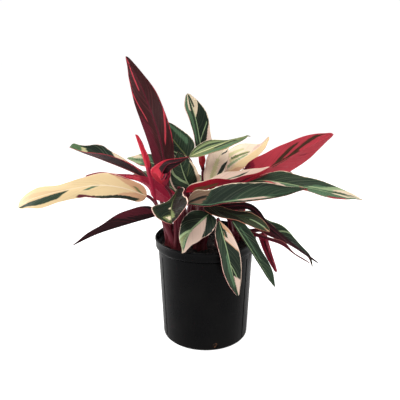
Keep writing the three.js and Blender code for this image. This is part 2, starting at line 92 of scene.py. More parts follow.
def apply_modifier(piece: Piece, kind: str, **settings: object) -> None:
    """Adds one modifier to a piece and applies it.

    Args:
        piece: The mesh object.
        kind: Blender's name for the modifier type.
        **settings: The modifier's own values.
    """
    select(piece)
    modifier = piece.modifiers.new(kind.lower(), kind)
    for name, value in settings.items():
        setattr(modifier, name, value)
    bpy.ops.object.modifier_apply(modifier=modifier.name)


def coordinates(piece: Piece) -> np.ndarray:
    """Reads a mesh's vertices as rows of x, y and z."""
    flat = np.empty(len(piece.data.vertices) * 3)
    piece.data.vertices.foreach_get("co", flat)
    return flat.reshape(-1, 3)


def place(piece: Piece, points: np.ndarray) -> None:
    """Moves a mesh's vertices to the given rows of x, y and z."""
    piece.data.vertices.foreach_set("co", np.asarray(points, float).ravel())
    piece.data.update()


def edit(piece: Piece, layer: str, chosen: np.ndarray) -> None:
    """Opens a mesh in edit mode with just the wanted elements selected.

    Args:
        piece: The mesh object, in object mode.
        layer: "vertices", "edges" or "polygons".
        chosen: One truth value for each element of that layer.
    """
    select(piece)
    layers = ("vertices", "edges", "polygons")
    bpy.context.tool_settings.mesh_select_mode = [other == layer for other in layers]
    for other in layers:
        items = getattr(piece.data, other)
        items.foreach_set("select", chosen if other == layer else np.zeros(len(items), bool))
    bpy.ops.object.mode_set(mode="EDIT")


def close_up() -> None:
    """Turns all faces of the mesh in edit mode outwards and goes back to object mode."""
    bpy.ops.mesh.select_all(action="SELECT")
    bpy.ops.mesh.normals_make_consistent(inside=False)
    bpy.ops.object.mode_set(mode="OBJECT")


def extrude_ring(rise: float, ratio: float) -> None:
    """Extrudes the selected faces straight up, in metres, and widens them by a ratio."""
    bpy.ops.mesh.extrude_region_move(TRANSFORM_OT_translate={"value": (0, 0, rise)})
    bpy.ops.transform.resize(value=(ratio, ratio, 1))


def join(pieces: list[Piece]) -> Piece:
    """Joins meshes into the first of them."""
    select(*pieces)
    if len(pieces) > 1:
        bpy.ops.object.join()
    return pieces[0]


def dress(piece: Piece, name: str, material: Material) -> Piece:
    """Names a piece and its mesh, and gives it its one material."""
    piece.name = piece.data.name = name
    piece.data.materials.clear()
    piece.data.materials.append(material)
    return piece


def finish_piece(piece: Piece, nodes: list[str], slot: str, angle: float) -> None:
    """Smooths a piece, ties it to the plant's body, hides the CAD nodes that it stands for and logs
    its slot.

    Args:
        piece: The finished mesh.
        nodes: The CAD nodes that it stands for.
        slot: The record's material slot.
        angle: Edges sharper than this many degrees stay sharp.
    """
    select(piece)
    bpy.ops.object.shade_smooth_by_angle(angle=math.radians(angle))
    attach(piece, "root")
    if nodes:
        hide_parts(*nodes)
    log.info("%s: %d faces, slot %s", piece.name, len(piece.data.polygons), slot)


class Wiring:
    """Adds nodes to one node tree and links them as it goes."""

    def __init__(self, tree: bpy.types.NodeTree) -> None:
        """Keeps the tree to work on."""
        self.tree = tree

    def feed(self, socket: Socket, value: object) -> None:
        """Links a socket's value in, or sets it where the value is a plain one."""
        if isinstance(value, bpy.types.NodeSocket):
            self.tree.links.new(value, socket)
        else:
            socket.default_value = value

    def node(self, kind: str, values: dict | None = None, **settings: object) -> bpy.types.Node:
        """Adds one node.

        Args:
            kind: The node's type, without "ShaderNode".
            values: What goes into its inputs, by name or place.
            **settings: The node's own options.

        Returns:
            The new node.
        """
        made = self.tree.nodes.new(kind if kind.startswith("NodeGroup") else f"ShaderNode{kind}")
        for name, value in settings.items():
            setattr(made, name, value)
        for name, value in (values or {}).items():
            self.feed(made.inputs[name], value)
        return made

    def math(self, operation: str, *terms: object, clamp: bool = False) -> Socket:
        """Adds a Math node on up to three terms and returns its result."""
        settings = {"operation": operation, "use_clamp": clamp}
        return self.node("Math", dict(enumerate(terms)), **settings).outputs[0]

    def times(self, first: object, second: object, clamp: bool = False) -> Socket:
        """Multiplies two numbers."""
        return self.math("MULTIPLY", first, second, clamp=clamp)

    def plus(self, first: object, second: object) -> Socket:
        """Adds two numbers."""
        return self.math("ADD", first, second)

    def minus(self, first: object, second: object, clamp: bool = False) -> Socket:
        """Takes the second number away from the first."""
        return self.math("SUBTRACT", first, second, clamp=clamp)

    def blend(self, factor: object, first: object, second: object) -> Socket:
        """Mixes two colours by a factor and returns the mixed colour."""
        values = {0: factor, 6: first, 7: second}
        return self.node("Mix", values, data_type="RGBA", clamp_factor=True).outputs[2]

    def between(self, first: object, second: object, factor: object) -> Socket:
        """Returns the number that lies between two numbers at a factor."""
        return self.node("Mix", {0: factor, 2: first, 3: second}, data_type="FLOAT").outputs[0]

    def step(self, value: object, edge: object, soft: float) -> Socket:
        """Returns 0 below an edge and 1 above it, with a smooth ramp of twice soft between."""
        values = {0: value, 1: self.minus(edge, soft), 2: self.plus(edge, soft)}
        return self.node("MapRange", values, interpolation_type="SMOOTHSTEP").outputs[0]

    def streaks(self, value: object, scale: float, seed: object, detail: float = 2.0) -> Socket:
        """Returns noise from -0.5 to 0.5 that changes along one number only."""
        where = self.math("MULTIPLY_ADD", value, scale, seed)
        values = {"W": where, "Scale": 1.0, "Detail": detail}
        return self.minus(self.node("TexNoise", values, noise_dimensions="1D").outputs[0], 0.5)

    def cloud(self, where: object, scale: float, **values: float) -> Socket:
        """Returns noise from 0 to 1 that changes in every direction."""
        return self.node("TexNoise", {"Vector": where, "Scale": scale} | values).outputs[0]

    def place(self) -> Socket:
        """Returns the place on the object, in metres."""
        return self.node("TexCoord").outputs["Object"]

    def stretched(self, where: object, scale: Triple, turn: Triple = (0.0, 0.0, 0.0)) -> Socket:
        """Turns a place, in radians, after scaling it by its three numbers."""
        return self.node("Mapping", {"Vector": where, "Scale": scale, "Rotation": turn}).outputs[0]

    def stored(self, name: str) -> bpy.types.NodeOutputs:
        """Returns the three numbers of a mesh attribute."""
        return self.split(self.node("Attribute", attribute_name=name).outputs["Vector"])

    def split(self, vector: Socket) -> bpy.types.NodeOutputs:
        """Splits a vector into its three numbers."""
        return self.node("SeparateXYZ", {0: vector}).outputs


class Skin(Wiring):
    """The wiring of one Principled material."""

    def __init__(self, name: str, specular: float = 0.5) -> None:
        """Makes the material.

        Args:
            name: The material's name.
            specular: How strongly it mirrors its surroundings, from 0 to 1.
        """
        self.material = bpy.data.materials.new(name)
        self.material.use_nodes = True
        super().__init__(self.material.node_tree)
        self.inputs = self.tree.nodes["Principled BSDF"].inputs
        self.inputs["Specular IOR Level"].default_value = specular

    def wear(
        self, colour: Socket, rough: object, relief: Socket | None = None,
        strength: float = 0.5, depth: float = 0.0,
    ) -> Material:
        """Feeds the material's surface.

        Args:
            colour: Its colour.
            rough: Its roughness.
            relief: The height of its fine relief.
            strength: How much of the relief shows.
            depth: The relief's depth in metres.

        Returns:
            The finished material.
        """
        self.feed(self.inputs["Base Color"], colour)
        self.feed(self.inputs["Roughness"], rough)
        if relief is not None:
            values = {"Strength": strength, "Distance": depth, "Height": relief}
            self.feed(self.inputs["Normal"], self.node("Bump", values).outputs[0])
        return self.material


def new_group(name: str, takes: dict[str, object], gives: dict[str, str]) -> Wiring:
    """Starts a shader node group that takes a colour and a place on a blade.

    Args:
        name: The group's name.
        takes: Each further input and its default: a number or a colour of four.
        gives: Each output and its socket type.

    Returns:
        Wiring on the group's tree.
    """
    tree = bpy.data.node_groups.new(name, "ShaderNodeTree")
    for title, value in ({"Colour": BLACK, "Along": 0.0, "Across": 0.0} | takes).items():
        kind = "NodeSocketColor" if isinstance(value, tuple) else "NodeSocketFloat"
        socket = tree.interface.new_socket(title, in_out="INPUT", socket_type=kind)
        socket.default_value = value
    for title, kind in gives.items():
        tree.interface.new_socket(title, in_out="OUTPUT", socket_type=kind)
    return Wiring(tree)


# ---- leaf tissues --------------------------------------------------------------------
class Half(Enum):
    """Which side of the midrib a patch lies on, looking at the top side, tip away."""

    LEFT = 1.0
    RIGHT = -1.0
    BOTH = 0.0


class Tissue(Enum):
    """One kind of blade tissue: its colour above and its colour below."""

    GREEN = ((40, 58, 42), (58, 24, 26))
    DEEP = ((24, 37, 28), (44, 17, 22))
    # Painted shade: the next two tissues are near black. They stand in for the shadow on shaded
    # blade parts, not for a colour of the tissue itself.
    NIGHT = ((22, 22, 17), (34, 13, 17))
    DUSK = ((13, 8, 7), (30, 12, 15))
    OLIVE = ((46, 54, 34), (70, 46, 30))
    MID = ((82, 114, 84), (84, 44, 42))
    PALE = ((156, 178, 132), (150, 84, 78))
    MOSS = ((112, 122, 76), (112, 70, 50))
    STRAW = ((218, 212, 160), (168, 72, 70))
    YELLOW = ((230, 202, 154), (176, 60, 70))
    CREAM = ((236, 216, 184), (160, 34, 56))
    PINK = ((232, 202, 184), (172, 40, 60))
    ROSE = ((212, 82, 92), (200, 62, 76))
    CRIMSON = ((156, 28, 54), (148, 25, 52))
    WINE = ((92, 26, 40), (88, 24, 38))
    SCARLET = ((182, 32, 50), (182, 30, 50))
    IVORY = ((252, 230, 204), (176, 60, 70))
    HONEY = ((218, 186, 142), (176, 60, 70))
    TAN = ((212, 166, 128), (168, 66, 66))
    DRIED = ((128, 84, 58), (128, 84, 58))
    # Painted shade: a tan darkened to stand in for a tan lobe lying in shadow.
    BRONZE = ((118, 90, 72), (96, 46, 46))
    TWISTED = ((92, 122, 84), (92, 122, 84))


# The table of leaves calls each tissue by its bare name.
(
    GREEN, DEEP, NIGHT, DUSK, OLIVE, MID, PALE, MOSS, STRAW, YELLOW, CREAM, PINK, ROSE,
    CRIMSON, WINE, SCARLET, IVORY, HONEY, TAN, DRIED, BRONZE, TWISTED,
) = Tissue


class Face(Enum):
    """One side of a blade, with the colours that shade its side veins: light and dark."""

    TOP = ((176, 190, 150), (16, 22, 18))
    UNDER = ((150, 60, 70), (30, 10, 16))

    def paint(self, tissue: Tissue) -> Rgba:
        """The linear colour of a tissue on this side."""
        above, below = tissue.value
        return linear(above if self is Face.TOP else below)


@dataclass(frozen=True)
class Patch:
    """A sector of one tissue, bounded by two side veins and two distances from the midrib.

    start and end are where its veins leave the midrib, from 0 at the base to 1 at the tip.
    inner and outer are distances from the midrib, from 0 to 1 at the margin: one number, or
    one at start and one at end. slant is how far a vein has run towards the tip at the margin.
    feather is how ragged the edges are.
    """

    half: Half
    tissue: Tissue
    start: float
    end: float
    inner: float | Pair = -1.0
    outer: float | Pair = 2.0
    slant: float = 0.25
    feather: float = 0.25

    def inputs(self, face: Face) -> dict[str, object]:
        """Lists what the patch feeds to its node group on one side of the blade."""
        inner, outer = twice(self.inner), twice(self.outer)
        return {
            "Paint": face.paint(self.tissue), "Half": self.half.value,
            "Start": self.start, "End": self.end,
            "Inner start": inner[0], "Inner end": inner[1],
            "Outer start": outer[0], "Outer end": outer[1],
            "Slant": self.slant, "Feather": self.feather,
        }


left = partial(Patch, Half.LEFT)
right = partial(Patch, Half.RIGHT)
both = partial(Patch, Half.BOTH)


class LeafGroups:
    """The node groups that every blade's materials share.

    Streak counts are waves of noise along the blade. Widths and edges are shares of the
    blade's length or of its half width.
    """

    FINGERS = 42.0
    SHAKES = 7.0
    WOBBLE = 0.1
    EDGE = 0.035
    VEIN_BEND = 1.25
    VEIN_DRIFT = 1.4
    VEIN_FADE = 4.0
    GRAIN_HEIGHT = 0.8
    BROAD_VEINS = 26.0
    FINE_VEINS = 240.0
    RIB_TAPER = -0.75
    RIB_EDGE = 0.018
    MARGIN_NICKS = 18.0
    NICK_DEPTH = 0.1
    MARGIN_EDGE = 0.02
    LEAST_MARGIN = 0.001

    def __init__(self) -> None:
        """Builds each group once."""
        self.patch = self.build_patch()
        self.veins = self.build_veins()
        self.lines = self.build_lines()

    def build_patch(self) -> bpy.types.NodeTree:
        """Paints one feathered sector over a colour and returns the group."""
        wiring = new_group(
            "tissue_patch",
            {
                "Paint": WHITE, "Half": 0.0, "Start": 0.0, "End": 1.0,
                "Inner start": -1.0, "Inner end": -1.0, "Outer start": 2.0, "Outer end": 2.0,
                "Slant": 0.25, "Feather": 0.25, "Seed": 0.0,
            },
            {"Colour": "NodeSocketColor"},
        )
        take = wiring.node("NodeGroupInput").outputs
        off = wiring.math("ABSOLUTE", take["Across"])
        vein = wiring.minus(take["Along"], wiring.times(take["Slant"], off))
        length = wiring.minus(take["End"], take["Start"])
        part = wiring.math("DIVIDE", wiring.minus(vein, take["Start"]), length, clamp=True)
        inner = wiring.between(take["Inner start"], take["Inner end"], part)
        outer = wiring.between(take["Outer start"], take["Outer end"], part)
        breadth = wiring.minus(outer, inner, clamp=True)
        fingers = wiring.streaks(vein, self.FINGERS, take["Seed"], 3.0)
        rough = wiring.times(wiring.times(fingers, breadth), take["Feather"])
        wobble = wiring.times(take["Feather"], self.WOBBLE)
        shake = wiring.times(wiring.streaks(off, self.SHAKES, take["Seed"]), wobble)
        past = wiring.step(off, wiring.plus(inner, rough), self.EDGE)
        short = wiring.step(off, wiring.minus(outer, rough), self.EDGE)
        after = wiring.step(vein, wiring.plus(take["Start"], shake), self.EDGE / 3)
        before = wiring.step(vein, wiring.minus(take["End"], shake), self.EDGE / 3)
        side = wiring.times(take["Across"], take["Half"])
        either = wiring.minus(0.5, wiring.math("ABSOLUTE", take["Half"]))
        own = wiring.math("GREATER_THAN", wiring.math("MAXIMUM", side, either), 0.0)
        band = wiring.times(past, wiring.minus(1.0, short))
        stretch = wiring.times(after, wiring.minus(1.0, before))
        mask = wiring.times(wiring.times(band, stretch), own)
        colour = wiring.blend(mask, take["Colour"], take["Paint"])
        wiring.node("NodeGroupOutput", {"Colour": colour})
        return wiring.tree

    def build_veins(self) -> bpy.types.NodeTree:
        """Shades a colour by fine side veins, gives their relief, and returns the group."""
        wiring = new_group(
            "side_veins",
            {
                "Light": WHITE, "Dark": BLACK,
                "Count": 60.0, "Slant": 0.25, "Strength": 0.3, "Seed": 0.0,
            },
            {"Colour": "NodeSocketColor", "Height": "NodeSocketFloat"},
        )
        take = wiring.node("NodeGroupInput").outputs
        off = wiring.math("ABSOLUTE", take["Across"])
        bend = wiring.math("POWER", off, self.VEIN_BEND)
        vein = wiring.minus(take["Along"], wiring.times(take["Slant"], bend))
        broad = wiring.times(wiring.streaks(vein, self.BROAD_VEINS, take["Seed"], 1.0), 2.0)
        turn = wiring.plus(wiring.times(vein, take["Count"]), wiring.times(broad, self.VEIN_DRIFT))
        wave = wiring.math("SINE", wiring.times(turn, math.tau))
        grain = wiring.streaks(vein, self.FINE_VEINS, take["Seed"])
        light = wiring.times(wiring.plus(broad, grain), take["Strength"], clamp=True)
        shade = wiring.times(wiring.minus(grain, broad), take["Strength"], clamp=True)
        colour = wiring.blend(light, take["Colour"], take["Light"])
        colour = wiring.blend(shade, colour, take["Dark"])
        fade = wiring.minus(1.0, wiring.math("POWER", off, self.VEIN_FADE))
        height = wiring.times(wiring.math("MULTIPLY_ADD", grain, self.GRAIN_HEIGHT, wave), fade)
        wiring.node("NodeGroupOutput", {"Colour": colour, "Height": height})
        return wiring.tree

    def build_lines(self) -> bpy.types.NodeTree:
        """Draws the midrib and the margin line over a colour and returns the group."""
        wiring = new_group(
            "rib_and_margin",
            {
                "Rib": WHITE, "Rib width": 0.06, "Margin": WHITE, "Margin width": 0.04,
                "Seed": 0.0,
            },
            {"Colour": "NodeSocketColor"},
        )
        take = wiring.node("NodeGroupInput").outputs
        off = wiring.math("ABSOLUTE", take["Across"])
        thin = wiring.math("MULTIPLY_ADD", take["Along"], self.RIB_TAPER, 1.0)
        width = wiring.times(take["Rib width"], thin)
        inside = wiring.minus(1.0, wiring.step(off, width, self.RIB_EDGE))
        nicks = wiring.streaks(take["Along"], self.MARGIN_NICKS, take["Seed"], 3.0)
        ragged = wiring.times(nicks, self.NICK_DEPTH)
        edge = wiring.minus(1.0, wiring.plus(take["Margin width"], ragged))
        hem = wiring.step(off, edge, self.MARGIN_EDGE)
        wide = wiring.math("GREATER_THAN", take["Margin width"], self.LEAST_MARGIN)
        hem = wiring.times(hem, wide)
        colour = wiring.blend(hem, take["Colour"], take["Margin"])
        colour = wiring.blend(inside, colour, take["Rib"])
        wiring.node("NodeGroupOutput", {"Colour": colour})
        return wiring.tree


@dataclass(frozen=True)
class LeafFinish:
    """How one blade is coloured: its ground tissue, its patches and its lines."""

    base: Tissue = Tissue.GREEN
    patches: tuple[Patch, ...] = ()
    rib: Tissue = Tissue.PALE
    rib_width: float = 0.06
    margin: Tissue | None = Tissue.CREAM
    margin_width: float = 0.03
    underside_only: bool = False
    roughness: float = 0.38
    under_rougher: float = 0.12
    mottle: float = 0.16
    mottle_scale: float = 90.0
    vein_spacing: float = 3.2
    vein_slant: float = 0.3
    vein_strength: float = 0.22
    vein_depth: float = 0.0004
    specular: float = 0.16
    seed_step: float = 3.7

    def material(
        self, name: str, face: Face, length: float, seed: float, groups: LeafGroups
    ) -> Material:
        """Makes the material of one side of a blade.

        Args:
            name: The blade's name.
            face: Which side.
            length: The blade's length in millimetres, which sets how many veins it has.
            seed: Moves the noise, so that no two blades match.
            groups: The shared node groups.

        Returns:
            The finished material.
        """
        skin = Skin(f"{name}_{face.name.lower()}", self.specular)
        shown = Face.UNDER if self.underside_only else face
        along, across, _ = skin.stored("blade")

        def paint_over(colour: object, group: bpy.types.NodeTree, values: dict) -> bpy.types.Node:
            """Passes a colour through one of the groups."""
            common = {"Colour": colour, "Along": along, "Across": across, "Seed": seed}
            return skin.node("Group", common | values, node_tree=group)

        colour = shown.paint(self.base)
        for number, patch in enumerate(self.patches):
            values = patch.inputs(shown) | {"Seed": seed + self.seed_step * number}
            colour = paint_over(colour, groups.patch, values).outputs["Colour"]
        light, dark = (linear(shading) for shading in shown.value)
        veins = paint_over(colour, groups.veins, {
            "Light": light, "Dark": dark, "Count": length / self.vein_spacing,
            "Slant": self.vein_slant, "Strength": self.vein_strength,
        }).outputs
        lines = paint_over(veins["Colour"], groups.lines, {
            "Rib": shown.paint(self.rib), "Rib width": self.rib_width,
            "Margin": shown.paint(self.margin or self.base),
            "Margin width": self.margin_width if self.margin else 0.0,
        }).outputs
        spots = skin.cloud(skin.place(), self.mottle_scale)
        rough = self.roughness + (self.under_rougher if shown is Face.UNDER else 0.0)
        rough = skin.math("MULTIPLY_ADD", spots, self.mottle, rough - self.mottle / 2)
        return skin.wear(lines["Colour"], rough, veins["Height"], depth=self.vein_depth)


def painted(*patches: Patch, **lines: object) -> LeafFinish:
    """Makes the finish of a blade whose patches are painted on in this order."""
    return LeafFinish(patches=patches, **lines)


# ---- leaf blades ---------------------------------------------------------------------
BASE_ROUNDING = 0.08
TIP_ROUNDING = 0.04
SPAN_SAMPLES = 60


@dataclass(frozen=True)
class Leaf:
    """One blade: its shape in millimetres, the shoot that carries it and its finish.

    spine runs from base to tip. wide holds the half widths of the left and the right half at
    even steps along it. face is the way the top side looks, and turned the way it looks at
    the tip, where that differs. fold raises the left and the right half, each at the base
    and the tip: one number stands for both. curl turns each half further towards its margin.
    Both are in degrees. ruffle is the margin's wave: height and count.
    """

    name: str
    shoot: str
    wide: tuple[tuple[float, ...], tuple[float, ...]]
    spine: tuple[Triple, ...]
    face: Triple
    finish: LeafFinish
    turned: Triple | None = None
    slot: str = "blade_green"
    fold: float | tuple[float | Pair, float | Pair] = 0
    curl: Pair = (0, 0)
    ruffle: Pair = (1.5, 2.5)


def unit(rows: np.ndarray) -> np.ndarray:
    """Scales each row to length 1."""
    return rows / np.linalg.norm(rows, axis=-1, keepdims=True)


def spine_stations(
    spine: tuple[Triple, ...], along: np.ndarray
) -> tuple[np.ndarray, np.ndarray, float]:
    """Places points on a blade's midrib at even steps of its length.

    Args:
        spine: The midrib's points, in millimetres.
        along: Where to look, from 0 at the base to 1 at the tip.

    Returns:
        The points, the unit tangents there, and the midrib's length.
    """
    knots = np.asarray(spine, float)
    spans = len(knots) - 1
    padded = np.vstack([2 * knots[0] - knots[1], knots, 2 * knots[-1] - knots[-2]])
    samples = np.linspace(0, spans, SPAN_SAMPLES * spans + 1)
    span = np.minimum(samples.astype(int), spans - 1)
    part = (samples - span)[:, None]
    a, b, c, d = (padded[span + k] for k in range(4))
    line = 0.5 * (
        2 * b + (c - a) * part + (2 * a - 5 * b + 4 * c - d) * part**2
        + (3 * b - a - 3 * c + d) * part**3
    )
    steps = np.linalg.norm(np.diff(line, axis=0), axis=1)
    travelled = np.concatenate([[0], np.cumsum(steps)])
    length = travelled[-1]
    tangents = unit(np.gradient(line, axis=0))

    def look_up(table: np.ndarray) -> np.ndarray:
        """Reads a table of rows at the wanted places."""
        return np.stack([np.interp(along * length, travelled, column) for column in table.T], -1)

    return look_up(line), unit(look_up(tangents)), length


def half_widths(widths: tuple[float, ...], along: np.ndarray, least: np.ndarray) -> np.ndarray:
    """Reads a half's width off its list, smoothly, with both ends of the blade rounded.

    Args:
        widths: The half widths at even steps from base to tip.
        along: Where to look, from 0 at the base to 1 at the tip.
        least: The least width allowed at each place.

    Returns:
        The half width at each place.
    """
    knots = np.asarray(widths, float)
    spans = len(knots) - 1
    span = np.minimum((along * spans).astype(int), spans - 1)
    part = along * spans - span
    padded = np.concatenate([knots[:1], knots, knots[-1:]])
    slope = (padded[2:] - padded[:-2]) / 2
    rise = knots[span + 1] - knots[span]
    swell = (1 - part) * (slope[span] - rise) + part * (rise - slope[span + 1])
    line = knots[span] + rise * part + part * (1 - part) * swell
    base = np.sqrt(1 - (1 - np.minimum(1, along / BASE_ROUNDING)) ** 2)
    tip = np.sqrt(1 - (1 - np.minimum(1, (1 - along) / TIP_ROUNDING)) ** 2)
    return np.maximum(least, base * tip * line)


class Blade:
    """Models and dresses one blade.

    Lengths are in millimetres. Places on the blade and on its flat map run from 0 to 1.
    """

    CELL = 2.6
    LEAST_CELLS = 24
    HALF_CELLS = 14
    CROWDING = 1.35
    BASE_HALF_WIDTH = 1.5
    TIP_HALF_WIDTH = 0.35
    RIB_THICKNESS = 2.4
    LAMINA_SHARE = 0.28
    RIB_REACH = 0.07
    RIB_THINNING = 0.7
    GROOVE_DEPTH = 0.5
    LEAST_TURN = 1e-3
    RUFFLE_SHIFT = (0.31, 1.9)
    TOP_SHEET = 0.02
    UNDER_SHEET = 0.5
    SHEET_HEIGHT = 0.44
    RIM_STRIP = (0.96, 0.98)
    RIM_SHARE = 0.9

    def __init__(self, leaf: Leaf, seed: float, groups: LeafGroups) -> None:
        """Keeps the leaf's facts, the number that makes it differ, and the node groups."""
        self.leaf = leaf
        self.seed = seed
        self.groups = groups
        self.length = spine_stations(leaf.spine, np.array([0.0]))[2]

    def surface(self, along: np.ndarray, across: np.ndarray) -> np.ndarray:
        """Finds points of the blade's top side.

        Args:
            along: From 0 at the base to 1 at the tip.
            across: From 1 at the left margin to -1 at the right one.

        Returns:
            The points in millimetres, one row each.
        """
        leaf = self.leaf
        s = along[:, None]
        middle, forward, _ = spine_stations(leaf.spine, along)
        ways = leaf.face, leaf.turned or leaf.face
        first, last = (unit(np.array(way, float)) for way in ways)
        up = first * (1 - s) + last * s
        up = unit(up - (up * forward).sum(1, keepdims=True) * forward)
        leftwards = np.cross(up, forward)
        is_left = across > 0
        off = np.abs(across)
        end = self.BASE_HALF_WIDTH + (self.TIP_HALF_WIDTH - self.BASE_HALF_WIDTH) * along
        width = np.where(is_left, *(half_widths(half, along, end) for half in leaf.wide))
        folds = (twice(half) for half in twice(leaf.fold))
        fold = np.radians(np.where(
            is_left, *(base * (1 - along) + tip * along for base, tip in folds)
        ))
        turn = np.radians(np.where(is_left, *leaf.curl))
        turn = np.where(np.abs(turn) < self.LEAST_TURN, self.LEAST_TURN, turn)
        angle = fold + turn * off
        sideways = width * (np.sin(angle) - np.sin(fold)) / turn
        upward = width * (np.cos(fold) - np.cos(angle)) / turn
        height, count = leaf.ruffle
        by_blade, by_half = self.RUFFLE_SHIFT
        wave = 2 * math.pi * (count * along + by_blade * self.seed) + np.where(is_left, 0, by_half)
        upward = upward + height * off**2 * np.sin(wave) * np.sin(math.pi * along)
        upward = upward - self.GROOVE_DEPTH * np.exp(-((off / self.RIB_REACH) ** 2)) * (1 - along)
        sign = np.where(is_left, 1.0, -1.0)
        return middle + leftwards * (sign * sideways)[:, None] + up * upward[:, None]

    def build(self) -> None:
        """Models the blade: a grid shaped along its midrib, thickened to a closed body."""
        deselect_all()
        bpy.ops.mesh.primitive_grid_add(
            x_subdivisions=max(self.LEAST_CELLS, round(self.length / self.CELL)),
            y_subdivisions=2 * self.HALF_CELLS, size=2.0,
        )
        piece = bpy.context.object
        piece.name = piece.data.name = f"blade_{self.leaf.name}"
        flat = coordinates(piece)
        along = np.clip((flat[:, 0] + 1) / 2, 0, 1)
        across = np.sign(flat[:, 1]) * np.abs(np.clip(flat[:, 1], -1, 1)) ** self.CROWDING
        place(piece, self.surface(along, across) * MM)
        blade = piece.data.attributes.new("blade", "FLOAT_VECTOR", "POINT")
        blade.data.foreach_set("vector", np.stack([along, across, 0 * along], -1).ravel())
        ribbed = np.exp(-((across / self.RIB_REACH) ** 2)) * (1 - along) ** self.RIB_THINNING
        group = piece.vertex_groups.new(name="rib")
        for index, weight in enumerate(ribbed):
            group.add([index], float(weight), "REPLACE")
        for face in Face:
            piece.data.materials.append(self.leaf.finish.material(
                piece.name, face, self.length, self.seed, self.groups
            ))
        sheet = len(piece.data.polygons)
        apply_modifier(
            piece, "SOLIDIFY", thickness=self.RIB_THICKNESS * MM, offset=-1.0,
            vertex_group="rib", thickness_vertex_group=self.LAMINA_SHARE,
            material_offset=1, material_offset_rim=1,
        )
        self.unwrap(piece, sheet)
        finish_piece(piece, [f"leaf_{self.leaf.name}"], self.leaf.slot, angle=60.0)

    def unwrap(self, piece: Piece, sheet: int) -> None:
        """Lays the top side, the underside and the rim side by side on one flat map.

        Args:
            piece: The thickened blade.
            sheet: How many faces one side has.
        """
        mesh = piece.data
        blade = np.empty(len(mesh.vertices) * 3)
        mesh.attributes["blade"].data.foreach_get("vector", blade)
        corners = np.empty(len(mesh.loops), int)
        mesh.loops.foreach_get("vertex_index", corners)
        spots = blade.reshape(-1, 3)[corners][:, :2].copy()
        spots[:, 1] = self.TOP_SHEET + self.SHEET_HEIGHT * (spots[:, 1] + 1) / 2
        starts = np.empty(len(mesh.polygons), int)
        mesh.polygons.foreach_get("loop_start", starts)
        starts = np.append(starts, len(corners))
        spots[starts[sheet]:starts[2 * sheet], 1] += self.UNDER_SHEET - self.TOP_SHEET
        rim = len(mesh.polygons) - 2 * sheet
        under, over = self.RIM_STRIP
        for number in range(rim):
            first = starts[2 * sheet + number]
            low, high = number / rim, (number + self.RIM_SHARE) / rim
            spots[first:first + 4] = [(low, under), (high, under), (high, over), (low, over)]
        mesh.uv_layers.new(name="OFBake").data.foreach_set("uv", spots.ravel())


# ---- stalks and canes ----------------------------------------------------------------
@dataclass(frozen=True)
class StalkFinish:
    """Burgundy stalk skin with fine lengthwise lines and streaks of painted shade, greener and paler
    low down.
    """

    skin: Rgb = (88, 20, 34)
    light: Rgb = (134, 42, 56)
    shade: Rgb = (22, 9, 12)
    low: Rgb = (74, 44, 36)
    lines: float = 5.0
    line_seed: float = 17.0
    line_contrast: float = 2.4
    shade_streaks: float = 9.0
    shade_streak_seed: float = 5.0
    shade_streak_contrast: float = 2.0
    low_share: float = 0.5
    low_fade: float = 3.0
    roughness: float = 0.42
    shade_streak_roughness: float = 0.2
    line_depth: float = 0.0006
    specular: float = 0.2

    def material(self) -> Material:
        """Makes the one material that every stalk shares."""
        skin = Skin("stalk_skin", self.specular)
        along, turn, number = skin.stored("stalk")
        lines = skin.streaks(turn, self.lines, skin.times(number, self.line_seed), 3.0)
        lines = skin.times(lines, self.line_contrast, clamp=True)
        # Painted shade: dark lengthwise streaks in the shade colour stand in for the shadowed
        # crevices between stalks. They also make the skin a little rougher there.
        shade_streaks = skin.streaks(turn, self.shade_streaks, skin.times(number, self.shade_streak_seed))
        shade_streaks = skin.times(shade_streaks, self.shade_streak_contrast, clamp=True)
        foot = skin.minus(1.0, skin.times(along, self.low_fade), clamp=True)
        colour = skin.blend(lines, linear(self.skin), linear(self.light))
        colour = skin.blend(shade_streaks, colour, linear(self.shade))
        colour = skin.blend(skin.times(foot, self.low_share), colour, linear(self.low))
        rough = skin.math("MULTIPLY_ADD", shade_streaks, self.shade_streak_roughness, self.roughness)
        return skin.wear(colour, rough, lines, depth=self.line_depth)


